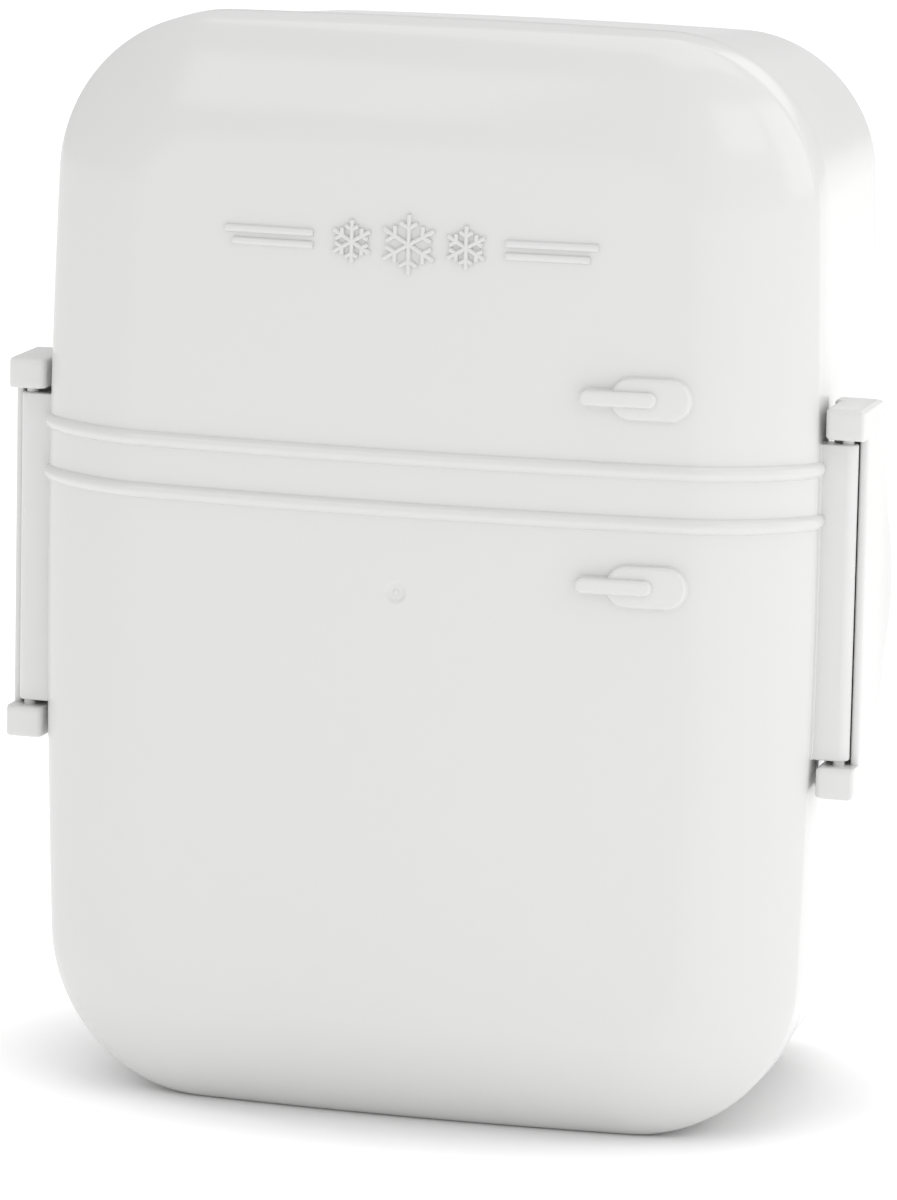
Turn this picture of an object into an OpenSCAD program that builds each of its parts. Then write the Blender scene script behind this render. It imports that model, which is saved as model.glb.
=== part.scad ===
// Fridge-shaped lunch box, standing upright.
// X runs to the right, -Y points at the front, Z is up. The origin is at the
// middle of the bounding box's underside. Millimetres.

/* [Body] */
// Height of the body at its corners
body_h = 200; // [180:1:220]
// Half the width of the body at its top and bottom
half_w = 69.9; // [62:0.1:76]
// Corner radius of the outline
corner_r = 28.9; // [26:0.1:34]
// How far each side bulges at mid height
side_bow = 2.5; // [0:0.1:4]
// How far the top bulges at its middle
top_bow = 1.1; // [0:0.1:3]

/* [Lid] */
// Depth of the lid, from the parting plane to its front face
lid_depth = 24.5; // [20:0.1:30]
// How far the crowned front falls back towards its sides
crown_x = 5; // [0:0.1:6]
// How far the crowned front falls back towards its top and bottom
crown_z = 1.2; // [0:0.1:3]
// Width of the rounded border of the front face
border_w = 21; // [18:0.5:27]
// Depth of that rounded border
border_depth = 11; // [8:0.1:13]
// Fullness of the border's curve, 2 is an ellipse
border_power = 1.6; // [1.3:0.1:2.4]
// Wall of the lid
lid_wall = 2; // [1.6:0.1:2.2]

/* [Tub] */
// Depth of the tub, from the parting plane to its back
tub_depth = 70.4; // [50:0.1:90]
// Step from the lid's side to the tub's side
tub_step = 1; // [0.6:0.1:1.5]
// Draft of the tub's sides and top, in degrees
tub_draft = 4.5; // [1:0.5:5]
// Wall of the tub
tub_wall = 2.5; // [2:0.1:3]
// Radius of the edge round the tub's back
back_r = 6; // [3:0.5:10]

/* [Ribs and relief] */
// Heights of the two beads that run round the lid
bead_z = [114.9, 124.4]; // [90:0.1:150]
// Width of a bead
bead_w = 2.6; // [1.6:0.1:3.2]
// How far a bead stands proud
bead_h = 1.1; // [0.6:0.1:1.5]
// Middle of the upper door handle, x and z
upper_handle = [44.8, 137.4]; // [30:0.1:170]
// Middle of the lower door handle, x and z
lower_handle = [44.8, 103.6]; // [30:0.1:170]
// Length and height of a handle's plate
handle_plate = [14.7, 7.7]; // [6:0.1:20]
// How far the plate stands proud
plate_h = 1.3; // [0.8:0.1:2]
// Length and height of a handle's lever
lever = [14, 3]; // [2:0.1:18]
// How far the lever stands proud
lever_h = 2.3; // [2:0.1:4]
// Centre of the lever from the centre of the plate, towards the middle
lever_shift = 5.7; // [4:0.1:8]
// Height of the emblem's middle
emblem_z = 162.8; // [150:0.1:170]
// How far the emblem stands proud
emblem_h = 0.7; // [0.4:0.1:1]

/* [Clips] */
// Outer face of a clip from the middle
clip_x = 80.3; // [79.8:0.1:81]
// Heights of a clip's underside and top
clip_z = [64.6, 135.6]; // [60:0.1:140]
// Height of an ear
ear_h = 5.7; // [5:0.1:7]
// Front face of the ears, in front of the parting plane
ear_front = 8.7; // [8.4:0.1:9]
// Back edge of the clip, behind the parting plane
clip_back = 10; // [9:0.1:11]
// How far the finger tab runs past the back edge
tab_reach = 7; // [4:0.1:9]
// Thickness of the clip's plate
clip_wall = 1.5; // [1.3:0.1:1.6]
// Hinge axis from the middle
hinge_x = 76.9; // [76.7:0.1:77]
// Hinge axis in front of the parting plane
hinge_front = 5; // [4.8:0.1:5.2]
// Radius of the clip's stub pins
pin_r = 1.05; // [0.9:0.05:1.1]

/* [Inside] */
// Thickness of the shelf between the two compartments
shelf_t = 2; // [1.5:0.1:3]

/* [Hidden] */

white = "whitesmoke";
frosted = [0.86, 0.89, 0.9];
mid_z = body_h / 2;

// The lower lever reaches furthest forward, with the end that points at the middle.
lever_x = lower_handle[0] - lever_shift;
lever_tilt = atan(front_slope(lever_x));
lever_reach = lever_h * cos(lever_tilt) + lever[0] / 2 * sin(lever_tilt);

// The origin lies halfway between that lever and the tub's back.
parting_y = (lever_reach - front_y(lever_x, lower_handle[1]) - tub_depth) / 2;

// Outline rings
corner_steps = 9;
side_steps = 8;
top_steps = 6;
border_steps = 9;
crown_steps = 5;
crown_middle = 0.1;
bow_reach = 0.9;
edge_steps = 5;
border_corner = 0.9;
tub_corner = 0.65;

// Lid and tub rims: a tongue on the tub enters the lid and meets the gasket.
tongue_gap = 0.3;
tongue_h = 4;
tongue_out = lid_wall + tongue_gap;
tongue_in = tub_step + tub_wall;
groove_in = 5.6;
groove_rib = 1.4;
groove_floor = 8;
groove_lip = 4.3;
groove_plate = 1.5;
gasket_play = 0.1;
gasket_squeeze = 0.05;

// Catch ledges on the tub's sides
ledge_x = 75.2;
ledge_front = 0.4;
ledge_back = 3;
ledge_half = 26;

// Hinge barrels on the lid
barrel_r = 1.9;
barrel_gap = 1;
pin_play = 0.05;
pin_h = 4;
bore_h = pin_h + 1;

// Clip hook and ears
hook_x = 72.4;
hook_front = 3.2;
hook_t = 2.6;
ear_x = 73.3;
ear_corner = 1.2;
plate_front = -5.4;
plate_corner = 4;
tab_flare = 1;
tab_steps = 32;
curl_steps = 8;

// Shelf and its rails
shelf_z = (bead_z[0] + bead_z[1]) / 2;
shelf_play = 0.4;
shelf_front = 2;
shelf_lip = 5;
lip_lead = 1.5;
notch_lead = 4;
notch_r = 11;
rail_t = 1.2;
rail_reach = 1.6;
rail_play = 0.2;
rail_front = 5;

// Emblem: speed lines that start beside a row of snowflakes
line_w = 1.2;
line_start = 18;
line_l = [16.7, 15.2];
line_rise = [1.1, -1.1];
flake_r = 5.4;
small_flake_r = 3.9;
flake_pitch = 10.6;
arm_w = 0.9;
twig_start = 0.55;
twig_l = 0.34;

// Injection gate mark on the front face
gate = [-1.1, 99.8];
gate_r = 1.9;
gate_depth = 0.3;
gate_nub_r = 0.5;
gate_nub_h = 0.15;

embed = 0.6;

// ---- outline of the body --------------------------------------------------

// Points of a quarter circle.
function arc(cx, cz, r, start) =
    [for (k = [0:corner_steps])
        let (t = start + 90 * k / corner_steps) [cx + r * cos(t), cz + r * sin(t)]];

// Points between p and q, without the two ends.
function between(p, q, steps) = [for (k = [1:steps - 1]) p + (q - p) * k / steps];

// Moves a point of a straight-sided outline out to the bowed sides and top.
function bowed(p, a, r) =
    let (
        t = (p[1] - mid_z) / mid_z,
        across = min(1, abs(p[0]) / (a - bow_reach * r)),
        up = min(1, (p[1] - mid_z) / (mid_z - bow_reach * r))
    )
    [
        p[0] + sign(p[0]) * side_bow * (1 - t * t) * across,
        p[1] + (up > 0 ? top_bow * (1 - pow(p[0] / a, 2)) * up : 0)
    ];

// Rounded outline of half width a from z0 to z1, anticlockwise from the front.
function outline(a, z0, z1, r) =
    let (
        corners = [
            arc(a - r, z1 - r, r, 0),
            arc(r - a, z1 - r, r, 90),
            arc(r - a, z0 + r, r, 180),
            arc(a - r, z0 + r, r, 270)
        ],
        steps = [top_steps, side_steps, top_steps, side_steps],
        points = [for (c = [0:3]) each concat(
            corners[c],
            between(corners[c][corner_steps], corners[(c + 1) % 4][0], steps[c])
        )]
    )
    [for (p = points) bowed(p, a, r)];

// Outline set in by the same distance all round.
function inset(d) = outline(half_w - d, d, body_h - d, corner_r - d);

// Outline of the lid's rounded border, set in by d.
function border(d) = outline(half_w - d, d, body_h - d, corner_r - border_corner * d);

// Outline of the tub at a depth, set in by d and lifted off the ground by lift.
function tub_outline(y, d, lift) =
    let (side = tub_step + max(y, 0) * tan(tub_draft) + d)
    outline(half_w - side, lift, body_h - side, corner_r - tub_corner * (side - d) - d);

function at_depth(points, y) = [for (p = points) [p[0], y, p[1]]];

// ---- building blocks ------------------------------------------------------

// Closed solid through a list of rings, with a flat face on the first and last.
module lofted(rings) {
    n = len(rings[0]);
    last = len(rings) - 1;
    polyhedron(
        points = [for (ring = rings) each ring],
        faces = concat(
            [[for (i = [n - 1:-1:0]) i]],
            [for (j = [0:last - 1], i = [0:n - 1]) [j * n + i, j * n + (i + 1) % n, (j + 1) * n + i]],
            [for (j = [0:last - 1], i = [0:n - 1])
                [j * n + (i + 1) % n, (j + 1) * n + (i + 1) % n, (j + 1) * n + i]],
            [[for (i = [0:n - 1]) last * n + i]]
        )
    );
}

// Extrudes a shape drawn in x and z along Y, from y0 back to y1.
module along_y(y0, y1) {
    translate([0, y1, 0]) rotate([90, 0, 0]) linear_extrude(y1 - y0) children();
}

// Extrudes a shape drawn in y and z along X, from x0 to x1.
module along_x(x0, x1) {
    translate([x0, 0, 0]) rotate([90, 0, 90]) linear_extrude(x1 - x0) children();
}

// Flat ring between two outlines.
module frame_y(outer, inner, y0, y1) {
    along_y(y0, y1) difference() {
        polygon(outer);
        polygon(inner);
    }
}

// Stands a shape on the crowned front at c (x and z), leaning with the front.
module on_front(c) {
    translate([c[0], front_y(c[0], c[1]), c[1]]) rotate([90, 0, atan(front_slope(c[0]))])
        translate([0, 0, -embed]) children();
}

// Bar with round ends on the front, centred on c.
module bar(c, size, height) {
    reach = (size[0] - size[1]) / 2;
    on_front(c) {
        translate([-reach, -size[1] / 2, 0]) cube([2 * reach, size[1], height + embed]);
        for (s = [-1, 1])
            translate([s * reach, 0, 0]) cylinder(r = size[1] / 2, h = height + embed, $fn = 32);
    }
}

// ---- lid ------------------------------------------------------------------

// How far the crowned front has fallen back at a point in x and z.
function fallen(p) = crown_x * pow(p[0] / half_w, 2) + crown_z * pow((p[1] - mid_z) / mid_z, 2);

// Slope of the crowned front across at x.
function front_slope(x) = 2 * crown_x * x / pow(half_w, 2);

// Drop of the rounded border of width w and depth d at the given inset.
function border_drop(inset, w, d) =
    let (c = max(0, 1 - inset / w))
    d - d * pow(1 - pow(c, border_power), 1 / border_power);

// Side of the lid at the height z.
function side_x(z) = half_w + side_bow * (1 - pow((z - mid_z) / mid_z, 2));

// Depth of the lid's front where its border is straight.
function front_y(x, z) =
    border_drop(side_x(z) - abs(x), border_w, border_depth) + fallen([x, z]) - lid_depth;

// Inset of the border's ring k, from its side wall in.
function border_inset(k, w) = w * (1 - cos(90 * k / border_steps));

// Points of a flat ring laid on a crowned surface of the given depth.
function on_crown(points, y) = [for (p = points) [p[0], y + fallen(p), p[1]]];

// Points of a flat ring drawn in towards the middle of the front.
function drawn_in(points, share) = [for (p = points) [p[0] * share, mid_z + (p[1] - mid_z) * share]];

// Rings of the front and its border, from the flat middle out to the side wall.
function front_rings(wall) =
    let (w = border_w - wall, d = border_depth - wall, y = wall - lid_depth)
    concat(
        [at_depth(drawn_in(border(border_w), crown_middle), y)],
        [for (k = [1:crown_steps - 1])
            on_crown(drawn_in(border(border_w), crown_middle + (1 - crown_middle) * k / crown_steps), y)],
        [for (k = [border_steps:-1:0])
            let (inset = border_inset(k, w))
            on_crown(border(wall + inset), y + border_drop(inset, w, d))]
    );

// Side and front of the lid in plan, from the parting plane to the middle.
function plan_line(z) =
    let (flat_x = side_x(z) - border_w)
    concat(
        [[side_x(z), -hinge_front]],
        [for (k = [0:border_steps])
            let (x = side_x(z) - border_inset(k, border_w)) [x, front_y(x, z)]],
        [for (k = [crown_steps - 1:-1:0])
            let (x = flat_x * k / crown_steps) [x, front_y(x, z)]]
    );

// The whole line round the front, right side first.
function whole_line(z) =
    let (half = plan_line(z))
    concat(half, [for (k = [len(half) - 2:-1:0]) [-half[k][0], half[k][1]]]);

// Unit vector pointing out of the lid at point k of a line.
function outward(line, k) =
    let (
        a = line[max(k - 1, 0)],
        b = line[min(k + 1, len(line) - 1)],
        d = (b - a) / norm(b - a)
    )
    [-d[1], d[0]];

// Half-round bead round the lid at the height z.
module bead(z) {
    line = whole_line(z);
    section = concat(
        [[-embed, -bead_w / 2]],
        [for (t = [-90:30:90]) [bead_h * cos(t), bead_w / 2 * sin(t)]],
        [[-embed, bead_w / 2]]
    );
    lofted([for (k = [0:len(line) - 1])
        let (out = outward(line, k))
        [for (s = section) [line[k][0] - out[0] * s[0], line[k][1] - out[1] * s[0], z + s[1]]]]);
}

// Moulded door handle: a low plate and a higher lever.
module handle(c) {
    bar(c, handle_plate, plate_h);
    bar([c[0] - lever_shift, c[1]], lever, lever_h);
}

// Six-armed snowflake of radius r centred on c.
module snowflake(c, r) {
    on_front(c)
        for (arm = [0:60:300]) rotate(arm) {
            translate([-arm_w / 2, 0, 0]) cube([arm_w, r, emblem_h + embed]);
            for (side = [-60, 60])
                translate([0, r * twig_start, 0]) rotate(side)
                    translate([-arm_w / 2, 0, 0]) cube([arm_w, r * twig_l, emblem_h + embed]);
        }
}

// Speed lines either side of a row of snowflakes.
module emblem() {
    for (s = [-1, 1]) {
        for (row = [0, 1])
            bar([s * (line_start + line_l[row] / 2), emblem_z + line_rise[row]],
                [line_l[row], line_w], emblem_h);
        snowflake([s * flake_pitch, emblem_z], small_flake_r);
    }
    snowflake([0, emblem_z], flake_r);
}

// Barrel on the lid's right side that takes one clip's pins.
module hinge_barrel() {
    z0 = clip_z[0] + ear_h + barrel_gap;
    z1 = clip_z[1] - ear_h - barrel_gap;
    root_x = half_w + side_bow - lid_wall / 2;
    difference() {
        union() {
            translate([hinge_x, -hinge_front, z0]) cylinder(r = barrel_r, h = z1 - z0, $fn = 48);
            translate([root_x, -hinge_front - barrel_r, z0])
                cube([hinge_x - root_x, 2 * barrel_r, z1 - z0]);
        }
        for (z = [z0 - 1, z1 - bore_h])
            translate([hinge_x, -hinge_front, z])
                cylinder(r = pin_r + pin_play, h = bore_h + 1, $fn = 32);
    }
}

// Dimple with a small nub where the moulding was filled.
module gate_dimple() {
    translate([gate[0], -lid_depth + gate_depth, gate[1]]) rotate([90, 0, 0]) difference() {
        cylinder(r = gate_r, h = gate_depth + 1, $fn = 32);
        cylinder(r = gate_nub_r, h = gate_nub_h, $fn = 24);
    }
}

module lid_shell() {
    outer = concat(front_rings(0), [at_depth(inset(0), 0)]);
    inner = concat(front_rings(lid_wall), [at_depth(inset(lid_wall), 0)]);
    rings = concat(outer, [for (k = [len(inner) - 1:-1:0]) inner[k]]);
    color(white) translate([0, parting_y, 0]) difference() {
        union() {
            lofted(rings);
            frame_y(inset(lid_wall - embed), inset(groove_in + groove_rib),
                -groove_floor - groove_plate, -groove_floor);
            frame_y(inset(groove_in), inset(groove_in + groove_rib),
                -groove_floor - embed, -groove_lip);
            for (z = bead_z) bead(z);
            handle(upper_handle);
            handle(lower_handle);
            emblem();
            hinge_barrel();
            mirror([1, 0, 0]) hinge_barrel();
        }
        gate_dimple();
    }
}

module lid_gasket() {
    color(frosted) translate([0, parting_y, 0])
        frame_y(inset(lid_wall + gasket_play), inset(groove_in - gasket_play),
            -groove_floor, -tongue_h - gasket_squeeze);
}

// ---- tub ------------------------------------------------------------------

// Rings of the tub's back edge, from its flat back out to the side.
function back_rings(wall, r) =
    [for (k = [edge_steps:-1:0])
        let (t = 90 * k / edge_steps, d = r * (1 - cos(t)))
        at_depth(
            tub_outline(tub_depth - back_r, wall + d, wall + d),
            tub_depth - wall - r + r * sin(t)
        )];

// Inner face of the tub's right side at a depth and height.
function inner_x(y, z) = side_x(z) - tongue_in - max(y, 0) * tan(tub_draft);

// Outline in plan that follows the inner faces at the shelf, play inside them.
function shelf_plan(play, y0, y1) =
    [
        [-inner_x(y0, shelf_z) + play, y0], [inner_x(y0, shelf_z) - play, y0],
        [inner_x(y1, shelf_z) - play, y1], [-inner_x(y1, shelf_z) + play, y1]
    ];

// Ledge on the right side that the clip hooks behind.
module catch_ledge() {
    root_x = half_w + side_bow - tub_step - tub_wall / 2;
    translate([root_x, ledge_front, mid_z - ledge_half])
        cube([ledge_x - root_x, ledge_back - ledge_front, 2 * ledge_half]);
}

// Pair of rails on the right inner face that hold the shelf.
module shelf_rails() {
    y1 = tub_depth - 2 * back_r;
    for (s = [-1, 1])
        translate([0, 0, shelf_z + s * (shelf_t / 2 + rail_play + rail_t / 2) - rail_t / 2])
            linear_extrude(rail_t) polygon([
                [inner_x(rail_front, shelf_z) + tub_wall / 2, rail_front],
                [inner_x(y1, shelf_z) + tub_wall / 2, y1],
                [inner_x(y1, shelf_z) - rail_reach, y1],
                [inner_x(rail_front, shelf_z) - rail_reach, rail_front]
            ]);
}

module rear_tub() {
    inner_edge = back_r - tub_wall / 2;
    inner = concat(
        back_rings(tub_wall, inner_edge),
        [at_depth(tub_outline(0, tub_wall, tongue_in), 0), at_depth(inset(tongue_in), -tongue_h)]
    );
    outer = concat(
        back_rings(0, back_r),
        [at_depth(tub_outline(0, 0, 0), 0), at_depth(inset(tongue_out), 0),
            at_depth(inset(tongue_out), -tongue_h)]
    );
    rings = concat(inner, [for (k = [len(outer) - 1:-1:0]) outer[k]]);
    color(white) translate([0, parting_y, 0]) {
        lofted(rings);
        catch_ledge();
        mirror([1, 0, 0]) catch_ledge();
        shelf_rails();
        mirror([1, 0, 0]) shelf_rails();
    }
}

module shelf_divider() {
    y1 = tub_depth - tub_wall - shelf_play;
    y_turn = tub_depth - 2 * back_r;
    color(frosted) translate([0, parting_y, 0]) difference() {
        union() {
            translate([0, 0, shelf_z - shelf_t / 2]) linear_extrude(shelf_t) union() {
                polygon(shelf_plan(shelf_play, shelf_front, y_turn));
                polygon(concat(
                    [for (p = shelf_plan(shelf_play, shelf_front, y_turn)) if (p[1] > shelf_front) p],
                    [for (s = [-1, 1]) [s * (inner_x(y_turn, shelf_z) - back_r - shelf_play), y1]]
                ));
            }
            translate([-inner_x(0, shelf_z) + shelf_lip, shelf_front - lip_lead, shelf_z - shelf_lip / 2])
                cube([2 * (inner_x(0, shelf_z) - shelf_lip), shelf_t, shelf_lip]);
        }
        translate([0, shelf_front - notch_lead, shelf_z - shelf_lip])
            cylinder(r = notch_r, h = 2 * shelf_lip, $fn = 64);
    }
}

// ---- clips ----------------------------------------------------------------

// How far the finger tab stands back at the height z.
function tab_back(z) =
    let (t = (z - mid_z) / (mid_z - clip_z[0] - ear_h))
    clip_back + (abs(t) < 1 ? tab_reach * pow(1 - t * t, 2) : 0);

// Plate of the right clip seen from the side, in y and z.
function clip_side() =
    concat(
        [[plate_front, clip_z[0]], [clip_back - plate_corner, clip_z[0]]],
        [for (t = [-60:30:0])
            [clip_back - plate_corner + plate_corner * cos(t), clip_z[0] + plate_corner + plate_corner * sin(t)]],
        [for (k = [1:tab_steps - 1])
            let (z = clip_z[0] + ear_h + (clip_z[1] - clip_z[0] - 2 * ear_h) * k / tab_steps)
            [tab_back(z), z]],
        [for (t = [0:30:60])
            [clip_back - plate_corner + plate_corner * cos(t), clip_z[1] - plate_corner + plate_corner * sin(t)]],
        [[clip_back - plate_corner, clip_z[1]], [plate_front, clip_z[1]]]
    );

// Plate of the right clip in plan: flat, then curling out along the tab.
function clip_plan() =
    let (
        line = [for (k = [0:curl_steps])
            let (s = k / curl_steps) [tab_flare * s * s, clip_back - 1 + (tab_reach + 2) * s]]
    )
    concat(
        [[clip_x, plate_front - 1]],
        [for (p = line) [clip_x + p[0], p[1]]],
        [for (k = [curl_steps:-1:0]) [clip_x - clip_wall + line[k][0], line[k][1]]],
        [[clip_x - clip_wall, plate_front - 1]]
    );

// Right clip: plate, two ears, the hook between them and the stub pins.
module clip() {
    intersection() {
        translate([0, 0, clip_z[0]]) linear_extrude(clip_z[1] - clip_z[0]) polygon(clip_plan());
        along_x(clip_x - clip_wall - tab_flare, clip_x + 2 * tab_flare) polygon(clip_side());
    }
    intersection() {
        for (z = [clip_z[0], clip_z[1] - ear_h])
            translate([0, 0, z]) linear_extrude(ear_h) polygon([
                [clip_x, -ear_front + ear_corner / 2], [clip_x, clip_back + 1],
                [hook_x, clip_back + 1], [hook_x, hook_front], [ear_x, hook_front - 1],
                [ear_x, -ear_front + ear_corner], [ear_x + ear_corner, -ear_front],
                [clip_x - ear_corner / 2, -ear_front]
            ]);
        along_x(hook_x - 1, clip_x + 1)
            polygon(concat([[-ear_front - 1, clip_z[0]]], clip_side(), [[-ear_front - 1, clip_z[1]]]));
    }
    translate([0, 0, clip_z[0] + embed]) linear_extrude(clip_z[1] - clip_z[0] - 2 * embed) polygon([
        [clip_x - clip_wall / 2, hook_front], [hook_x, hook_front], [hook_x, hook_front + hook_t / 2],
        [hook_x + hook_t / 2, hook_front + hook_t], [clip_x - clip_wall / 2, hook_front + hook_t]
    ]);
    for (z = [clip_z[0] + ear_h - embed, clip_z[1] - ear_h - barrel_gap - pin_h])
        translate([hinge_x, -hinge_front, z])
            cylinder(r = pin_r, h = pin_h + barrel_gap + embed, $fn = 32);
}

module right_clip() {
    color(white) translate([0, parting_y, 0]) clip();
}

module left_clip() {
    color(white) translate([0, parting_y, 0]) mirror([1, 0, 0]) clip();
}

lid_shell();
lid_gasket();
rear_tub();
shelf_divider();
left_clip();
right_clip();
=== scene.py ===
"""Fridge-shaped lunch box: the visible pieces, their finishes, the light and the camera.

Sizes are millimetres until a mesh is written. X runs to the right, -Y points at the front, Z is up.
"""

import logging
import math
from dataclasses import dataclass, field, replace
from enum import Enum
from typing import Any, Callable, Sequence

import bmesh
import bpy
from mathutils import Matrix, Vector


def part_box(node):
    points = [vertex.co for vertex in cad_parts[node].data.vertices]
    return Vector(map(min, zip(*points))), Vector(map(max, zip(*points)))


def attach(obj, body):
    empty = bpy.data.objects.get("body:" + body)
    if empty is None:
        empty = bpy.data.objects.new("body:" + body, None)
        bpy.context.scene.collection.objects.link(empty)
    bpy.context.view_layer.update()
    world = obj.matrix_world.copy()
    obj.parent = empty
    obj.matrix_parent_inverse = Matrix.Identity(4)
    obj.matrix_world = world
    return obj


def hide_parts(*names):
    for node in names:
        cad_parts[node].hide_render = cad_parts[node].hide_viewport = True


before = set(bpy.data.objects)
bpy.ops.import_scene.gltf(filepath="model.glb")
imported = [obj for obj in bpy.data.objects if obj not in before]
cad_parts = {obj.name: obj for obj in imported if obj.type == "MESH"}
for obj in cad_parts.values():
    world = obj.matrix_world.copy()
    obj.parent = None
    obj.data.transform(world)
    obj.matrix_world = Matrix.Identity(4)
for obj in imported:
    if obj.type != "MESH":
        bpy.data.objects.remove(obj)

MM = 0.001
FULL_TURN = 2 * math.pi
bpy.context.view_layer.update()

log = logging.getLogger("lunch_box")

Point = tuple[float, float, float]
PlanPoint = tuple[float, float]
Rings = list[list[Point]]


class Side(Enum):
    """Side of the box, with the sign of its X."""

    LEFT = -1
    RIGHT = 1

    @property
    def word(self) -> str:
        """Word for the side in a piece's name."""
        return self.name.lower()


class Slot(Enum):
    """Material slots of the record."""

    LID = "lid_plastic"
    TUB = "tub_plastic"
    CLIP = "clip_plastic"
    SHELF = "shelf_plastic"
    SEAL = "silicone"


# ---- node trees -----------------------------------------------------------


class Value:
    """A number socket of a node tree that can be used in arithmetic."""

    def __init__(self, tree: "Tree", socket: bpy.types.NodeSocket) -> None:
        """Wraps a socket.

        Args:
            tree: The tree that the socket is in.
            socket: An output socket that holds a number.
        """
        self.tree = tree
        self.socket = socket

    def _math(self, operation: str, *values: Any) -> "Value":
        """Adds one Math node and returns its result."""
        node = self.tree.node("ShaderNodeMath", {"operation": operation}, dict(enumerate(values)))
        return Value(self.tree, node.outputs[0])

    def __add__(self, other: Any) -> "Value":
        """Sum."""
        return self._math("ADD", self, other)

    def __radd__(self, other: Any) -> "Value":
        """Sum with a number on the left."""
        return self._math("ADD", other, self)

    def __sub__(self, other: Any) -> "Value":
        """Difference."""
        return self._math("SUBTRACT", self, other)

    def __rsub__(self, other: Any) -> "Value":
        """Difference from a number on the left."""
        return self._math("SUBTRACT", other, self)

    def __mul__(self, other: Any) -> "Value":
        """Product."""
        return self._math("MULTIPLY", self, other)

    def __rmul__(self, other: Any) -> "Value":
        """Product with a number on the left."""
        return self._math("MULTIPLY", other, self)

    def __truediv__(self, other: Any) -> "Value":
        """Quotient."""
        return self._math("DIVIDE", self, other)

    def __pow__(self, other: Any) -> "Value":
        """Power."""
        return self._math("POWER", self, other)

    def floor(self) -> "Value":
        """Whole part."""
        return self._math("FLOOR", self)

    def absolute(self) -> "Value":
        """Size without the sign."""
        return self._math("ABSOLUTE", self)

    def sign(self) -> "Value":
        """-1, 0 or 1."""
        return self._math("SIGN", self)

    def sine(self) -> "Value":
        """Sine of an angle in radians."""
        return self._math("SINE", self)

    def cosine(self) -> "Value":
        """Cosine of an angle in radians."""
        return self._math("COSINE", self)

    def at_most(self, other: Any) -> "Value":
        """The smaller of two numbers."""
        return self._math("MINIMUM", self, other)

    def at_least(self, other: Any) -> "Value":
        """The larger of two numbers."""
        return self._math("MAXIMUM", self, other)

    def within_one(self) -> "Value":
        """Held between 0 and 1."""
        return self.at_least(0.0).at_most(1.0)


class Tree:
    """A shader or geometry node tree that is filled from Python expressions."""

    def __init__(self, tree: bpy.types.NodeTree) -> None:
        """Keeps the tree.

        Args:
            tree: The node tree to fill.
        """
        self.tree = tree

    def node(self, kind: str, settings: dict[str, Any] | None = None,
             values: dict[Any, Any] | None = None) -> bpy.types.Node:
        """Adds a node.

        Args:
            kind: The node's type.
            settings: Properties of the node, set before its sockets. A ramp's stops go under "stops".
            values: A value, socket or Value for each input, by name or number.

        Returns:
            The new node.
        """
        made = self.tree.nodes.new(kind)
        for name, setting in (settings or {}).items():
            if name == "stops":
                self._set_stops(made.color_ramp, setting)
            else:
                setattr(made, name, setting)
        for key, value in (values or {}).items():
            self._feed(made.inputs[key], value)
        return made

    def _feed(self, socket: bpy.types.NodeSocket, value: Any) -> None:
        """Links or sets one input socket."""
        if isinstance(value, Value):
            value = value.socket
        if isinstance(value, bpy.types.NodeSocket):
            self.tree.links.new(value, socket)
        else:
            socket.default_value = value

    @staticmethod
    def _set_stops(ramp: bpy.types.ColorRamp, stops: Sequence[tuple[float, float]]) -> None:
        """Gives a ramp its stops, each a place and a grey."""
        while len(ramp.elements) < len(stops):
            ramp.elements.new(1.0)
        for element, (place, grey) in zip(ramp.elements, stops):
            element.position = place
            element.color = (grey, grey, grey, 1.0)

    def value(self, kind: str, settings: dict[str, Any] | None = None,
              values: dict[Any, Any] | None = None, output: Any = 0) -> Value:
        """Adds a node and returns one of its outputs as a Value.

        Args:
            kind: The node's type.
            settings: Properties of the node.
            values: What goes into its inputs.
            output: Name or number of the output.

        Returns:
            The output.
        """
        return Value(self, self.node(kind, settings, values).outputs[output])


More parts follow.
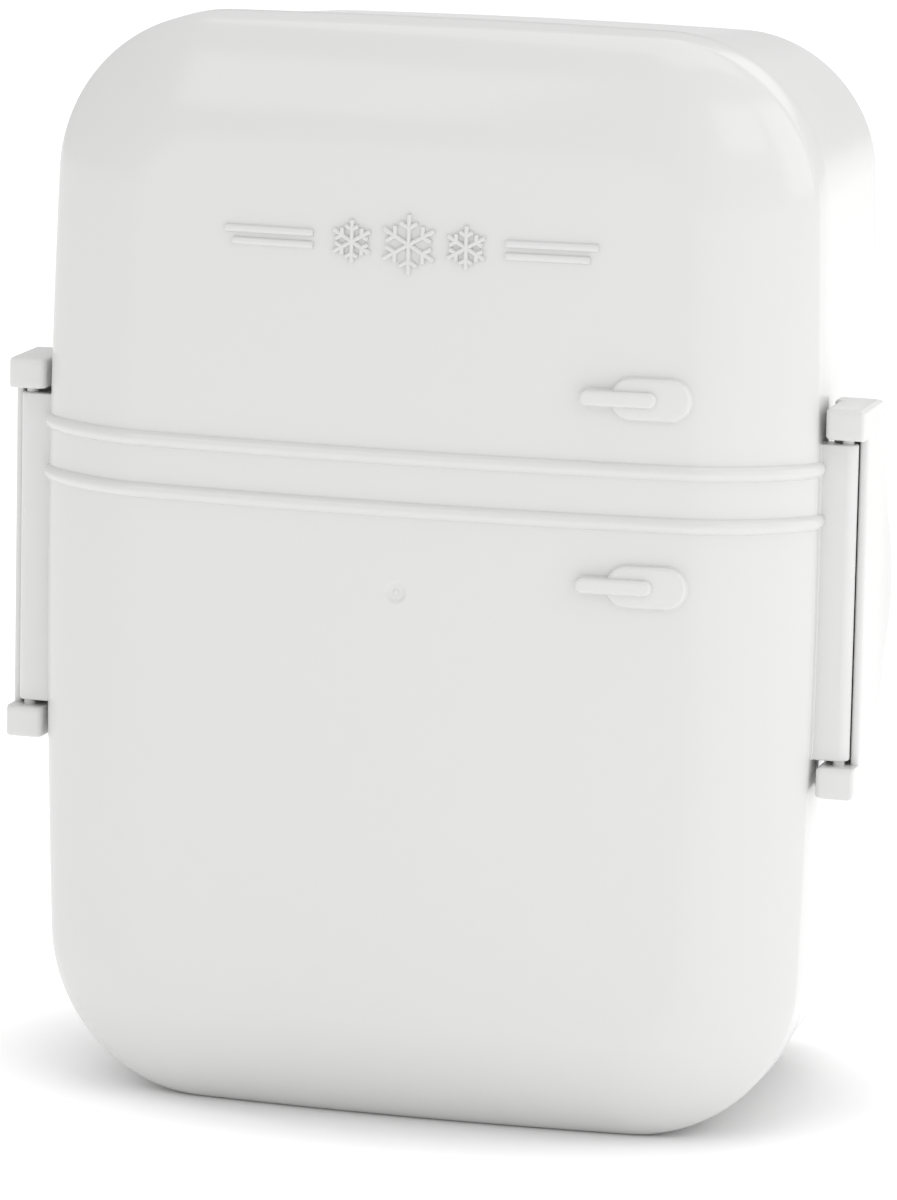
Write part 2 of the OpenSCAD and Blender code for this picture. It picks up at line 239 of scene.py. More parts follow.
class GeometryTool:
    """A geometry node group with named inputs, used through a modifier that is baked at once."""

    def __init__(self, name: str, sizes: Sequence[str], counts: Sequence[str] = ()) -> None:
        """Makes the group with its interface.

        Args:
            name: Name of the group.
            sizes: Names of its number inputs.
            counts: Names of its whole-number inputs.
        """
        self.group = bpy.data.node_groups.new(name, "GeometryNodeTree")
        face = self.group.interface
        face.new_socket("Geometry", in_out="OUTPUT", socket_type="NodeSocketGeometry")
        face.new_socket("Geometry", in_out="INPUT", socket_type="NodeSocketGeometry")
        for kind, names in (("NodeSocketFloat", sizes), ("NodeSocketInt", counts)):
            for size in names:
                face.new_socket(size, in_out="INPUT", socket_type=kind)
        face.new_socket("Material", in_out="INPUT", socket_type="NodeSocketMaterial")
        self.canvas = Tree(self.group)
        self.source = self.canvas.node("NodeGroupInput")

    def size(self, name: str) -> Value:
        """One of the group's number inputs."""
        return Value(self.canvas, self.source.outputs[name])

    def end(self, geometry: bpy.types.NodeSocket) -> None:
        """Closes the tree with real geometry, smooth shading and the material.

        Args:
            geometry: What the tree has made.
        """
        canvas = self.canvas
        real = canvas.node("GeometryNodeRealizeInstances", values={"Geometry": geometry})
        smooth = canvas.node("GeometryNodeSetShadeSmooth", values={0: real.outputs[0]})
        dressed = canvas.node("GeometryNodeSetMaterial", values={
            "Geometry": smooth.outputs[0], "Material": self.source.outputs["Material"]})
        canvas.node("NodeGroupOutput", values={0: dressed.outputs[0]})

    def run(self, name: str, mesh: bpy.types.Mesh, material: bpy.types.Material,
            **inputs: float) -> bpy.types.Object:
        """Runs the tool on a mesh.

        Args:
            name: Name of the finished piece.
            mesh: What goes into the group.
            material: Finish of the piece.
            inputs: A number for each input, with underscores for spaces.

        Returns:
            The finished piece, a plain mesh with no modifier.
        """
        carrier = bpy.data.objects.new(name + "_carrier", mesh)
        bpy.context.scene.collection.objects.link(carrier)
        modifier = carrier.modifiers.new("tool", "NODES")
        modifier.node_group = self.group
        given = {key.replace("_", " "): number for key, number in inputs.items()}
        given["material"] = material
        for item in self.group.interface.items_tree:
            if item.in_out == "INPUT" and item.name.lower() in given:
                modifier[item.identifier] = given[item.name.lower()]
        seen = carrier.evaluated_get(bpy.context.evaluated_depsgraph_get())
        made = bpy.data.meshes.new_from_object(seen)
        bpy.data.objects.remove(carrier)
        made.name = name
        piece = bpy.data.objects.new(name, made)
        bpy.context.scene.collection.objects.link(piece)
        return piece


# ---- the rules of the body ------------------------------------------------


@dataclass(frozen=True)
class BodyShape:
    """Outline of the box: round corners, sides and top that bow out, and where the halves part."""

    height: float
    parting: float
    half_width: float = 69.9
    corner: float = 28.9
    side_bow: float = 2.5
    top_bow: float = 1.1
    lid_depth: float = 24.5
    crown_x: float = 5.0
    crown_z: float = 1.2
    tub_depth: float = 70.4
    lid_wall: float = 2.0
    tub_wall: float = 2.5
    tub_step: float = 1.0
    tub_draft: float = math.radians(4.5)

    @classmethod
    def from_frame(cls) -> "BodyShape":
        """Takes the height and the parting plane from the frame's lid."""
        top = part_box("lid_shell")[1]
        return cls(height=top.z / MM - cls.top_bow, parting=top.y / MM)

    @property
    def mid_z(self) -> float:
        """Height of the body's middle."""
        return self.height / 2

    def bow_at(self, z: float) -> float:
        """How far a side stands out at the height z."""
        return self.side_bow * (1 - ((z - self.mid_z) / self.mid_z) ** 2)

    def side_at(self, z: float) -> float:
        """X of the lid's right side at the height z."""
        return self.half_width + self.bow_at(z)

    def crown_at(self, x: float, z: float) -> float:
        """How far the crowned front has fallen back from its middle."""
        return self.crown_x * (x / self.half_width) ** 2 + self.crown_z * ((z - self.mid_z) / self.mid_z) ** 2

    def tub_side_at(self, y: float, z: float) -> float:
        """X of the tub's right side at a depth behind the parting plane and a height."""
        return self.side_at(z) - self.tub_step - max(y, 0.0) * math.tan(self.tub_draft)


@dataclass(frozen=True)
class Border:
    """Rounded border of the lid's front: a quarter curve between an ellipse and a chamfer."""

    width: float = 21.0
    depth: float = 11.0
    power: float = 1.5
    ease: float = 0.12

    def _span(self) -> float:
        """Full travel of the eased power rule."""
        return (1 + self.ease**2) ** (self.power / 2) - self.ease**self.power

    def _share(self, value: float) -> float:
        """Eased power of a number from 0 to 1."""
        return ((value**2 + self.ease**2) ** (self.power / 2) - self.ease**self.power) / self._span()

    def _back(self, share: float) -> float:
        """Undoes the eased power."""
        lifted = (share * self._span() + self.ease**self.power) ** (2 / self.power)
        return math.sqrt(max(lifted - self.ease**2, 0.0))

    def point(self, turn: float) -> PlanPoint:
        """Place on the border.

        Args:
            turn: 0 at the flat front, a quarter turn in radians at the side.

        Returns:
            Distance in from the side, and distance back from the front face.
        """
        across = self._back(math.sin(turn) ** 2)
        along = self._back(math.cos(turn) ** 2)
        return self.width * (1 - across), self.depth * (1 - along)

    def drop(self, inset: float) -> float:
        """How far the face has fallen back at a distance in from the side."""
        if inset >= self.width:
            return 0.0
        share = 1 - self._share(1 - max(inset, 0.0) / self.width)
        return self.depth * (1 - self._back(share))


@dataclass(frozen=True)
class Ring:
    """One turn round the body: inset, depth, corner radius, lift off the ground, crown and scale."""

    inset: float
    depth: float
    corner: float
    lift: float
    crown: float = 0.0
    scale: float = 1.0


def fillet(points: Sequence[PlanPoint], radii: Sequence[float], steps: int = 5) -> list[PlanPoint]:
    """Rounds the inner corners of an open line.

    Args:
        points: The line's corners.
        radii: A radius for each corner; the two ends and zeros stay sharp.
        steps: Segments in each round.

    Returns:
        The rounded line.
    """
    line = [points[0]]
    for before, here, after, radius in zip(points, points[1:], points[2:], radii[1:]):
        to_before = Vector(before) - Vector(here)
        to_after = Vector(after) - Vector(here)
        half = to_before.angle(to_after) / 2
        if radius <= 0 or half > math.radians(89):
            line.append(here)
            continue
        reach = min(radius / math.tan(half), 0.49 * to_before.length, 0.49 * to_after.length)
        radius = reach * math.tan(half)
        middle = (to_before.normalized() + to_after.normalized()).normalized()
        centre = Vector(here) + middle * (radius / math.sin(half))
        first = Vector(here) + to_before.normalized() * reach - centre
        last = Vector(here) + to_after.normalized() * reach - centre
        swing = first.angle(last)
        for step in range(steps + 1):
            share = step / steps
            turned = first * math.sin((1 - share) * swing) + last * math.sin(share * swing)
            turned = turned / math.sin(swing)
            line.append(tuple(centre + turned))
    line.append(points[-1])
    return line


def ring_tool() -> GeometryTool:
    """Tool that carries a profile round the body's outline.

    The profile's points hold the inset in X and the depth in Y, and the rest of a Ring as attributes.

    Returns:
        The tool.
    """
    tool = GeometryTool("carry_profile_round_outline",
                        ["Half Width", "Height", "Side Bow", "Top Bow", "Crown X", "Crown Z", "Parting",
                         "Arc Share"],
                        ["Quarter Points"])
    canvas, profile = tool.canvas, tool.source.outputs["Geometry"]
    rings = canvas.node("GeometryNodeAttributeDomainSize", values={"Geometry": profile})
    quarter = tool.size("Quarter Points")
    per_ring = quarter * 4 + 1
    grid = canvas.node("GeometryNodeMeshGrid", values={
        "Vertices X": rings.outputs["Point Count"], "Vertices Y": per_ring})
    index = canvas.value("GeometryNodeInputIndex")
    ring = ((index + 0.5) / per_ring).floor()
    place = index - ring * per_ring

    def from_profile(name: str | None) -> Value:
        """A number stored on the profile at the ring, or its position without a name."""
        kind = "FLOAT" if name else "FLOAT_VECTOR"
        stored = (canvas.node("GeometryNodeInputNamedAttribute", {"data_type": "FLOAT"}, {"Name": name})
                  if name else canvas.node("GeometryNodeInputPosition"))
        return canvas.value("GeometryNodeSampleIndex", {"data_type": kind}, {
            "Geometry": profile, "Value": stored.outputs[0], "Index": ring})

    spot = canvas.node("ShaderNodeSeparateXYZ", values={0: from_profile(None)})
    inset, depth = Value(canvas, spot.outputs[0]), Value(canvas, spot.outputs[1])
    corner, lift = from_profile("corner"), from_profile("lift")

    turn = (place + 0.5) / quarter
    side = turn.floor()
    part = place / quarter - side
    arc = (part / tool.size("Arc Share")).within_one()
    run = ((part - tool.size("Arc Share")) / (1 - tool.size("Arc Share"))).within_one()
    angle = (side + arc) * (math.pi / 2)

    half = tool.size("Half Width") - inset
    top = tool.size("Height") - inset
    reach_x, reach_z = half - corner, (top - lift) * 0.5 - corner
    here, there = side * (math.pi / 2) + math.pi / 4, side * (math.pi / 2) + 3 * math.pi / 4
    core_x = (here.cosine() * (1 - run) + there.cosine() * run) * math.sqrt(2) * reach_x
    core_z = (here.sine() * (1 - run) + there.sine() * run) * math.sqrt(2) * reach_z
    x = core_x + angle.cosine() * corner
    z = core_z + angle.sine() * corner + (top + lift) * 0.5

    mid = tool.size("Height") * 0.5
    rise = (z - mid) / mid
    across = (x.absolute() / (half - corner * 0.9)).at_most(1.0)
    up = ((z - mid) / (mid - corner * 0.9)).within_one()
    bowed_x = x + x.sign() * tool.size("Side Bow") * (1 - rise * rise) * across
    bowed_z = z + tool.size("Top Bow") * (1 - (x / half) ** 2.0) * up
    scale = from_profile("scale")
    end_x, end_z = bowed_x * scale, mid + (bowed_z - mid) * scale
    crown = tool.size("Crown X") * (end_x / tool.size("Half Width")) ** 2.0
    crown = crown + tool.size("Crown Z") * ((end_z - mid) / mid) ** 2.0
    end_y = depth + tool.size("Parting") + crown * from_profile("crown")
    spot = canvas.node("ShaderNodeCombineXYZ", values={0: end_x * MM, 1: end_y * MM, 2: end_z * MM})
    moved = canvas.node("GeometryNodeSetPosition", values={
        "Geometry": grid.outputs["Mesh"], "Position": spot.outputs[0]})
    merged = canvas.node("GeometryNodeMergeByDistance", values={
        "Geometry": moved.outputs[0], "Distance": 1e-6})
    tool.end(merged.outputs[0])
    return tool


def ridge_tool() -> GeometryTool:
    """Tool that runs a raised ridge along lines, with a rounded section and ends that round off.

    The lines lie on the face; each point's "out" attribute points away from it.

    Returns:
        The tool.
    """
    tool = GeometryTool("run_ridge_along_lines",
                        ["Width", "Height", "Section Power", "End Round", "Spacing"], ["Section Points"])
    canvas = tool.canvas
    lines = canvas.node("GeometryNodeMeshToCurve", values={"Mesh": tool.source.outputs["Geometry"]})
    spaced = canvas.node("GeometryNodeResampleCurve", {"mode": "LENGTH"}, {
        "Curve": lines.outputs[0], "Length": tool.size("Spacing") * MM})
    run = canvas.node("GeometryNodeSplineParameter")
    length = canvas.value("GeometryNodeSplineLength", output="Length")
    gone = Value(canvas, run.outputs["Length"])
    to_end = gone.at_most(length - gone) / (tool.size("End Round") * MM)
    swell = (1 - (1 - to_end.within_one()) ** 2.0).at_least(0.0004) ** 0.5
    out = canvas.node("GeometryNodeInputNamedAttribute", {"data_type": "FLOAT_VECTOR"}, {"Name": "out"})
    faced = canvas.node("GeometryNodeSetCurveNormal", {"mode": "FREE"}, {
        "Curve": spaced.outputs[0], "Normal": out.outputs[0]})
    width = canvas.node("GeometryNodeSetCurveRadius", values={"Curve": faced.outputs[0], "Radius": swell})
    index = canvas.value("GeometryNodeInputIndex")
    section = canvas.node("GeometryNodeCurvePrimitiveLine")
    section = canvas.node("GeometryNodeResampleCurve", {"mode": "COUNT"}, {
        "Curve": section.outputs[0], "Count": tool.size("Section Points")})
    turn = (index / (tool.size("Section Points") - 1) - 0.5) * math.pi
    rise = turn.cosine().at_least(0.0) ** tool.size("Section Power")
    spot = canvas.node("ShaderNodeCombineXYZ", values={
        0: (rise * (tool.size("Height") + 0.3) - 0.3) * MM, 1: turn.sine() * tool.size("Width") * (MM / 2)})
    section = canvas.node("GeometryNodeSetPosition", values={
        "Geometry": section.outputs[0], "Position": spot.outputs[0]})
    closed = canvas.node("GeometryNodeSetSplineCyclic", values={
        "Geometry": section.outputs[0], "Cyclic": True})
    swept = canvas.node("GeometryNodeCurveToMesh", values={
        "Curve": width.outputs[0], "Profile Curve": closed.outputs[0], "Fill Caps": True})
    tool.end(swept.outputs[0])
    return tool


# ---- mesh work ------------------------------------------------------------


def line_mesh(name: str, lines: Sequence[Sequence[Point]], scale: float = 1.0,
              out: Sequence[Point] | None = None) -> bpy.types.Mesh:
    """Mesh of open lines for a geometry tool.

    Args:
        name: Name of the mesh.
        lines: The points of each line.
        scale: Factor on every point.
        out: Direction away from the face at each point.

    Returns:
        The mesh.
    """
    mesh = bpy.data.meshes.new(name)
    points = [tuple(scale * c for c in p) for line in lines for p in line]
    edges, start = [], 0
    for line in lines:
        edges += [(start + k, start + k + 1) for k in range(len(line) - 1)]
        start += len(line)
    mesh.from_pydata(points, edges, [])
    if out is not None:
        stored = mesh.attributes.new("out", "FLOAT_VECTOR", "POINT")
        stored.data.foreach_set("vector", [c for direction in out for c in direction])
    return mesh


def loft(bm: bmesh.types.BMesh, rings: Rings, cap_start: bool = True, cap_end: bool = True) -> None:
    """Adds a skin through rings with the same number of points.

    Args:
        bm: Mesh to add to.
        rings: The rings, in millimetres.
        cap_start: Closes the first ring.
        cap_end: Closes the last ring.
    """
    made = [[bm.verts.new(Vector(p) * MM) for p in ring] for ring in rings]
    count = len(rings[0])
    for low, high in zip(made, made[1:]):
        for k in range(count):
            bm.faces.new((low[k], low[(k + 1) % count], high[(k + 1) % count], high[k]))
    if cap_start:
        bm.faces.new(reversed(made[0]))
    if cap_end:
        bm.faces.new(made[-1])


def prism(bm: bmesh.types.BMesh, low: Sequence[Point], high: Sequence[Point], edge: float,
          segments: int = 4) -> None:
    """Adds a closed prism with rounded edges.

    Args:
        bm: Mesh to add to.
        low: Points of one end face, in millimetres.
        high: Points of the other end face, in the same order.
        edge: Radius of its edges.
        segments: Segments in each round.
    """
    part = bmesh.new()
    loft(part, [list(low), list(high)])
    bmesh.ops.recalc_face_normals(part, faces=part.faces)
    if edge > 0:
        bmesh.ops.bevel(part, geom=list(part.edges), offset=edge * MM, segments=segments,
                        profile=0.5, affect="EDGES", clamp_overlap=True)
    shape = bpy.data.meshes.new("prism_part")
    part.to_mesh(shape)
    part.free()
    bm.from_mesh(shape)
    bpy.data.meshes.remove(shape)


def rounded_corners(points: Sequence[PlanPoint], radii: Sequence[float], steps: int = 6) -> list[PlanPoint]:
    """Rounds the corners of a closed outline.

    Args:
        points: The outline's corners.
        radii: A radius for each corner.
        steps: Segments in each round.

    Returns:
        The rounded outline.
    """
    around = [points[-1], *points, points[0]]
    return fillet(around, [0.0, *radii, 0.0], steps)[1:-1]


def finish_mesh(piece: bpy.types.Object, sharp: float = 40.0) -> None:
    """Turns every face of a closed piece outwards, in one finish, and shades it smooth up to an angle.

    Args:
        piece: The piece.
        sharp: Angle in degrees past which an edge stays sharp.
    """
    bm = bmesh.new()
    bm.from_mesh(piece.data)
    bmesh.ops.recalc_face_normals(bm, faces=bm.faces)
    if bm.calc_volume(signed=True) < 0:
        bmesh.ops.reverse_faces(bm, faces=bm.faces)
    bm.to_mesh(piece.data)
    bm.free()
    plastic = next(m for m in piece.data.materials if m)
    piece.data.materials.clear()
    piece.data.materials.append(plastic)
    piece.data.polygons.foreach_set("material_index", [0] * len(piece.data.polygons))
    piece.data.shade_smooth()
    piece.data.set_sharp_from_angle(angle=math.radians(sharp))


def new_piece(name: str, bm: bmesh.types.BMesh, material: bpy.types.Material,
              sharp: float = 40.0) -> bpy.types.Object:
    """Makes a finished piece of a bmesh.

    Args:
        name: Name of the piece.
        bm: Its mesh, in metres; it is freed.
        material: Its finish.
        sharp: Angle in degrees past which an edge stays sharp.

    Returns:
        The piece.
    """
    mesh = bpy.data.meshes.new(name)
    bm.to_mesh(mesh)
    bm.free()
    mesh.materials.append(material)
    piece = bpy.data.objects.new(name, mesh)
    bpy.context.scene.collection.objects.link(piece)
    finish_mesh(piece, sharp)
    return piece


def hand_over(piece: bpy.types.Object, body: str, slot: Slot, *nodes: str) -> bpy.types.Object:
    """Puts a finished piece on its body.

    Args:
        piece: The piece.
        body: The CAD body that it moves with.
        slot: The record's slot for its finish; not used.
        nodes: CAD nodes that it stands for.

    Returns:
        The piece.
    """
    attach(piece, body)
    if nodes:
        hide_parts(*nodes)
    log.info("%s: %d faces on %s", piece.name, len(piece.data.polygons), body)
    return piece


# ---- finishes -------------------------------------------------------------


@dataclass(frozen=True)
class MouldedPlastic:
    """Glossy moulded plastic with a faint ripple, a few specks and handling marks."""

    name: str
    colour: tuple[float, float, float] = (0.69, 0.69, 0.685)
    roughness: float = 0.17
    smear: float = 0.07
    ripple: float = 0.012
    grain: float = 0.004
    speck_cells: float = 55.0
    speck_size: float = 0.011
    speck_share: float = 0.35

    def material(self) -> bpy.types.Material:
        """Builds the material.

        Returns:
            The material.
        """
        made = bpy.data.materials.new(self.name)
        made.use_nodes = True
        made.node_tree.nodes.clear()
        canvas = Tree(made.node_tree)
        spot = canvas.node("ShaderNodeTexCoord").outputs["Object"]

        def noise(scale: float, detail: float) -> Value:
            """A noise over the surface."""
            return canvas.value("ShaderNodeTexNoise", {"noise_dimensions": "3D"}, {
                "Vector": spot, "Scale": scale, "Detail": detail, "Roughness": 0.55})

        clouds = noise(9.0, 3.0)
        touched = noise(38.0, 5.0)
        fine = noise(2600.0, 2.0)
        cells = canvas.node("ShaderNodeTexVoronoi", {"feature": "F1"}, {
            "Vector": spot, "Scale": self.speck_cells})
        chance = canvas.node("ShaderNodeSeparateColor", values={0: cells.outputs["Color"]})
        rare = canvas.value("ShaderNodeMath", {"operation": "LESS_THAN"}, {
            0: chance.outputs[0], 1: self.speck_share})
        near = 1 - (Value(canvas, cells.outputs["Distance"]) / self.speck_size).within_one()
        specks = near * rare
        tint = canvas.node("ShaderNodeMix", {"data_type": "RGBA"}, {
            "Factor": clouds, 6: (*(c * 0.985 for c in self.colour), 1.0),
            7: (*(min(c * 1.012, 1.0) for c in self.colour), 1.0)})
        spotted = canvas.node("ShaderNodeMix", {"data_type": "RGBA"}, {
            "Factor": specks * 0.35, 6: tint.outputs[2], 7: (0.42, 0.40, 0.37, 1.0)})
        rough = self.roughness + (touched - 0.5) * self.smear + (fine - 0.5) * 0.03 + specks * 0.2
        height = noise(150.0, 1.0) * self.ripple + fine * self.grain - specks * 0.02
        bump = canvas.node("ShaderNodeBump", values={
            "Strength": 0.5, "Distance": 0.001, "Height": height})
        skin = canvas.node("ShaderNodeBsdfPrincipled", values={
            "Base Color": spotted.outputs[2], "Roughness": rough, "Normal": bump.outputs[0],
            "IOR": 1.49})
        canvas.node("ShaderNodeOutputMaterial", values={"Surface": skin.outputs[0]})
        return made


@dataclass(frozen=True)
class FrostedPlastic:
    """Milky, matt plastic that lets some light through."""

    name: str
    colour: tuple[float, float, float] = (0.80, 0.83, 0.84)
    roughness: float = 0.46
    clear: float = 0.22
    texture: float = 0.02

    def material(self) -> bpy.types.Material:
        """Builds the material.

        Returns:
            The material.
        """
        made = bpy.data.materials.new(self.name)
        made.use_nodes = True
        made.node_tree.nodes.clear()
        canvas = Tree(made.node_tree)
        spot = canvas.node("ShaderNodeTexCoord").outputs["Object"]
        grit = canvas.value("ShaderNodeTexNoise", values={"Vector": spot, "Scale": 1500.0, "Detail": 3.0})
        cloud = canvas.value("ShaderNodeTexNoise", values={"Vector": spot, "Scale": 22.0, "Detail": 3.0})
        tint = canvas.node("ShaderNodeMix", {"data_type": "RGBA"}, {
            "Factor": cloud, 6: (*(c * 0.96 for c in self.colour), 1.0), 7: (*self.colour, 1.0)})
        rough = self.roughness + (cloud - 0.5) * 0.1 + (grit - 0.5) * 0.08
        bump = canvas.node("ShaderNodeBump", values={
            "Strength": 0.5, "Distance": 0.001, "Height": grit * self.texture})
        skin = canvas.node("ShaderNodeBsdfPrincipled", values={
            "Base Color": tint.outputs[2], "Roughness": rough, "Normal": bump.outputs[0],
            "IOR": 1.49, "Transmission Weight": self.clear})
        canvas.node("ShaderNodeOutputMaterial", values={"Surface": skin.outputs[0]})
        return made


@dataclass(frozen=True)
class Silicone:
    """Soft seal with a fine matt skin and a little dust."""

    name: str
    colour: tuple[float, float, float] = (0.66, 0.68, 0.69)
    roughness: float = 0.52
    skin: float = 0.02

    def material(self) -> bpy.types.Material:
        """Builds the material.

        Returns:
            The material.
        """
        made = bpy.data.materials.new(self.name)
        made.use_nodes = True
        made.node_tree.nodes.clear()
        canvas = Tree(made.node_tree)
        spot = canvas.node("ShaderNodeTexCoord").outputs["Object"]
        skin = canvas.value("ShaderNodeTexNoise", values={"Vector": spot, "Scale": 1800.0, "Detail": 2.0})
        dust = canvas.value("ShaderNodeTexNoise", values={"Vector": spot, "Scale": 60.0, "Detail": 6.0})
        dusty = canvas.value("ShaderNodeValToRGB", {"stops": [(0.5, 0.0), (0.75, 1.0)]}, {0: dust})
        tint = canvas.node("ShaderNodeMix", {"data_type": "RGBA"}, {
            "Factor": dusty, 6: (*self.colour, 1.0), 7: (*(c * 1.08 for c in self.colour), 1.0)})
        bump = canvas.node("ShaderNodeBump", values={
            "Strength": 0.5, "Distance": 0.001, "Height": skin * self.skin})
        soft = canvas.node("ShaderNodeBsdfPrincipled", values={
            "Base Color": tint.outputs[2], "Roughness": self.roughness + dusty * 0.15,
            "Normal": bump.outputs[0], "IOR": 1.42})
        canvas.node("ShaderNodeOutputMaterial", values={"Surface": soft.outputs[0]})
        return made


@dataclass(frozen=True)
class StudioPaper:
    """Seamless white paper that glows faintly, with the glow held low round the foot of the box as a painted
    contact shadow.
    """

    name: str = "studio_paper"
    grey: float = 0.9
    glow: float = 0.40
    foot: Point = (0.085, 0.06, 1.0)
    painted_shadow_share: float = 0.75
    fade: float = 0.5
    under: float = 0.05

    def material(self) -> bpy.types.Material:
        """Builds the material.

        Returns:
            The material.
        """
        made = bpy.data.materials.new(self.name)
        made.use_nodes = True
        made.node_tree.nodes.clear()
        canvas = Tree(made.node_tree)
        spot = canvas.node("ShaderNodeTexCoord").outputs["Object"]
        stretched = canvas.node("ShaderNodeVectorMath", {"operation": "DIVIDE"}, {0: spot, 1: self.foot})
        away = canvas.value(
            "ShaderNodeVectorMath", {"operation": "LENGTH"}, {0: stretched.outputs[0]}, "Value")
        # Painted contact shadow: the glow stays at its least inside an ellipse round the box's foot and rises
        # to full beyond it, so the floor turns grey there.
        glow_past_painted_shadow = ((away - self.painted_shadow_share) / self.fade).at_least(self.under).at_most(1.0)
        pulp = canvas.value("ShaderNodeTexNoise", values={"Vector": spot, "Scale": 900.0, "Detail": 2.0})
        paper = canvas.node("ShaderNodeBsdfPrincipled", values={
            "Base Color": (self.grey, self.grey, self.grey, 1.0), "Roughness": 0.6 + pulp * 0.1,
            "Emission Color": glow_past_painted_shadow, "Emission Strength": self.glow})
        canvas.node("ShaderNodeOutputMaterial", values={"Surface": paper.outputs[0]})
        return made


# ---- sub-assemblies -------------------------------------------------------


@dataclass
class RingShell:
    """Carries profiles round the body's outline."""

    shape: BodyShape
    tool: GeometryTool
    quarter_points: int = 72
    arc_share: float = 0.6

    def build(self, name: str, rings: Sequence[Ring], material: bpy.types.Material) -> bpy.types.Object:
        """Builds the skin through rings.

        Args:
            name: Name of the piece.
            rings: The rings in order; if the last repeats the first, the skin closes on itself.
            material: Its finish.

        Returns:
            The piece, open at its first and last ring unless it closes on itself.
        """
        mesh = line_mesh(name + "_profile", [[(r.inset, r.depth, 0.0) for r in rings]])
        for key in ("corner", "lift", "crown", "scale"):
            stored = mesh.attributes.new(key, "FLOAT", "POINT")
            stored.data.foreach_set("value", [getattr(r, key) for r in rings])
        shape = self.shape
        return self.tool.run(
            name, mesh, material, half_width=shape.half_width, height=shape.height,
            side_bow=shape.side_bow, top_bow=shape.top_bow, crown_x=shape.crown_x, crown_z=shape.crown_z,
            parting=shape.parting, arc_share=self.arc_share, quarter_points=self.quarter_points)


def open_loops(bm: bmesh.types.BMesh) -> list[list[bmesh.types.BMEdge]]:
    """Edges on the rim of a mesh, one list for each opening, ordered from front to back."""
    left = {e for e in bm.edges if e.is_boundary}
    loops = []
    while left:
        first = min(left, key=lambda e: e.index)
        todo, loop = [first], []
        left.discard(first)
        while todo:
            edge = todo.pop()
            loop.append(edge)
            near = {e for v in edge.verts for e in v.link_edges if e in left}
            left -= near
            todo += sorted(near, key=lambda e: e.index)
        loops.append(loop)
    return sorted(loops, key=lambda loop: loop[0].verts[0].co.y)


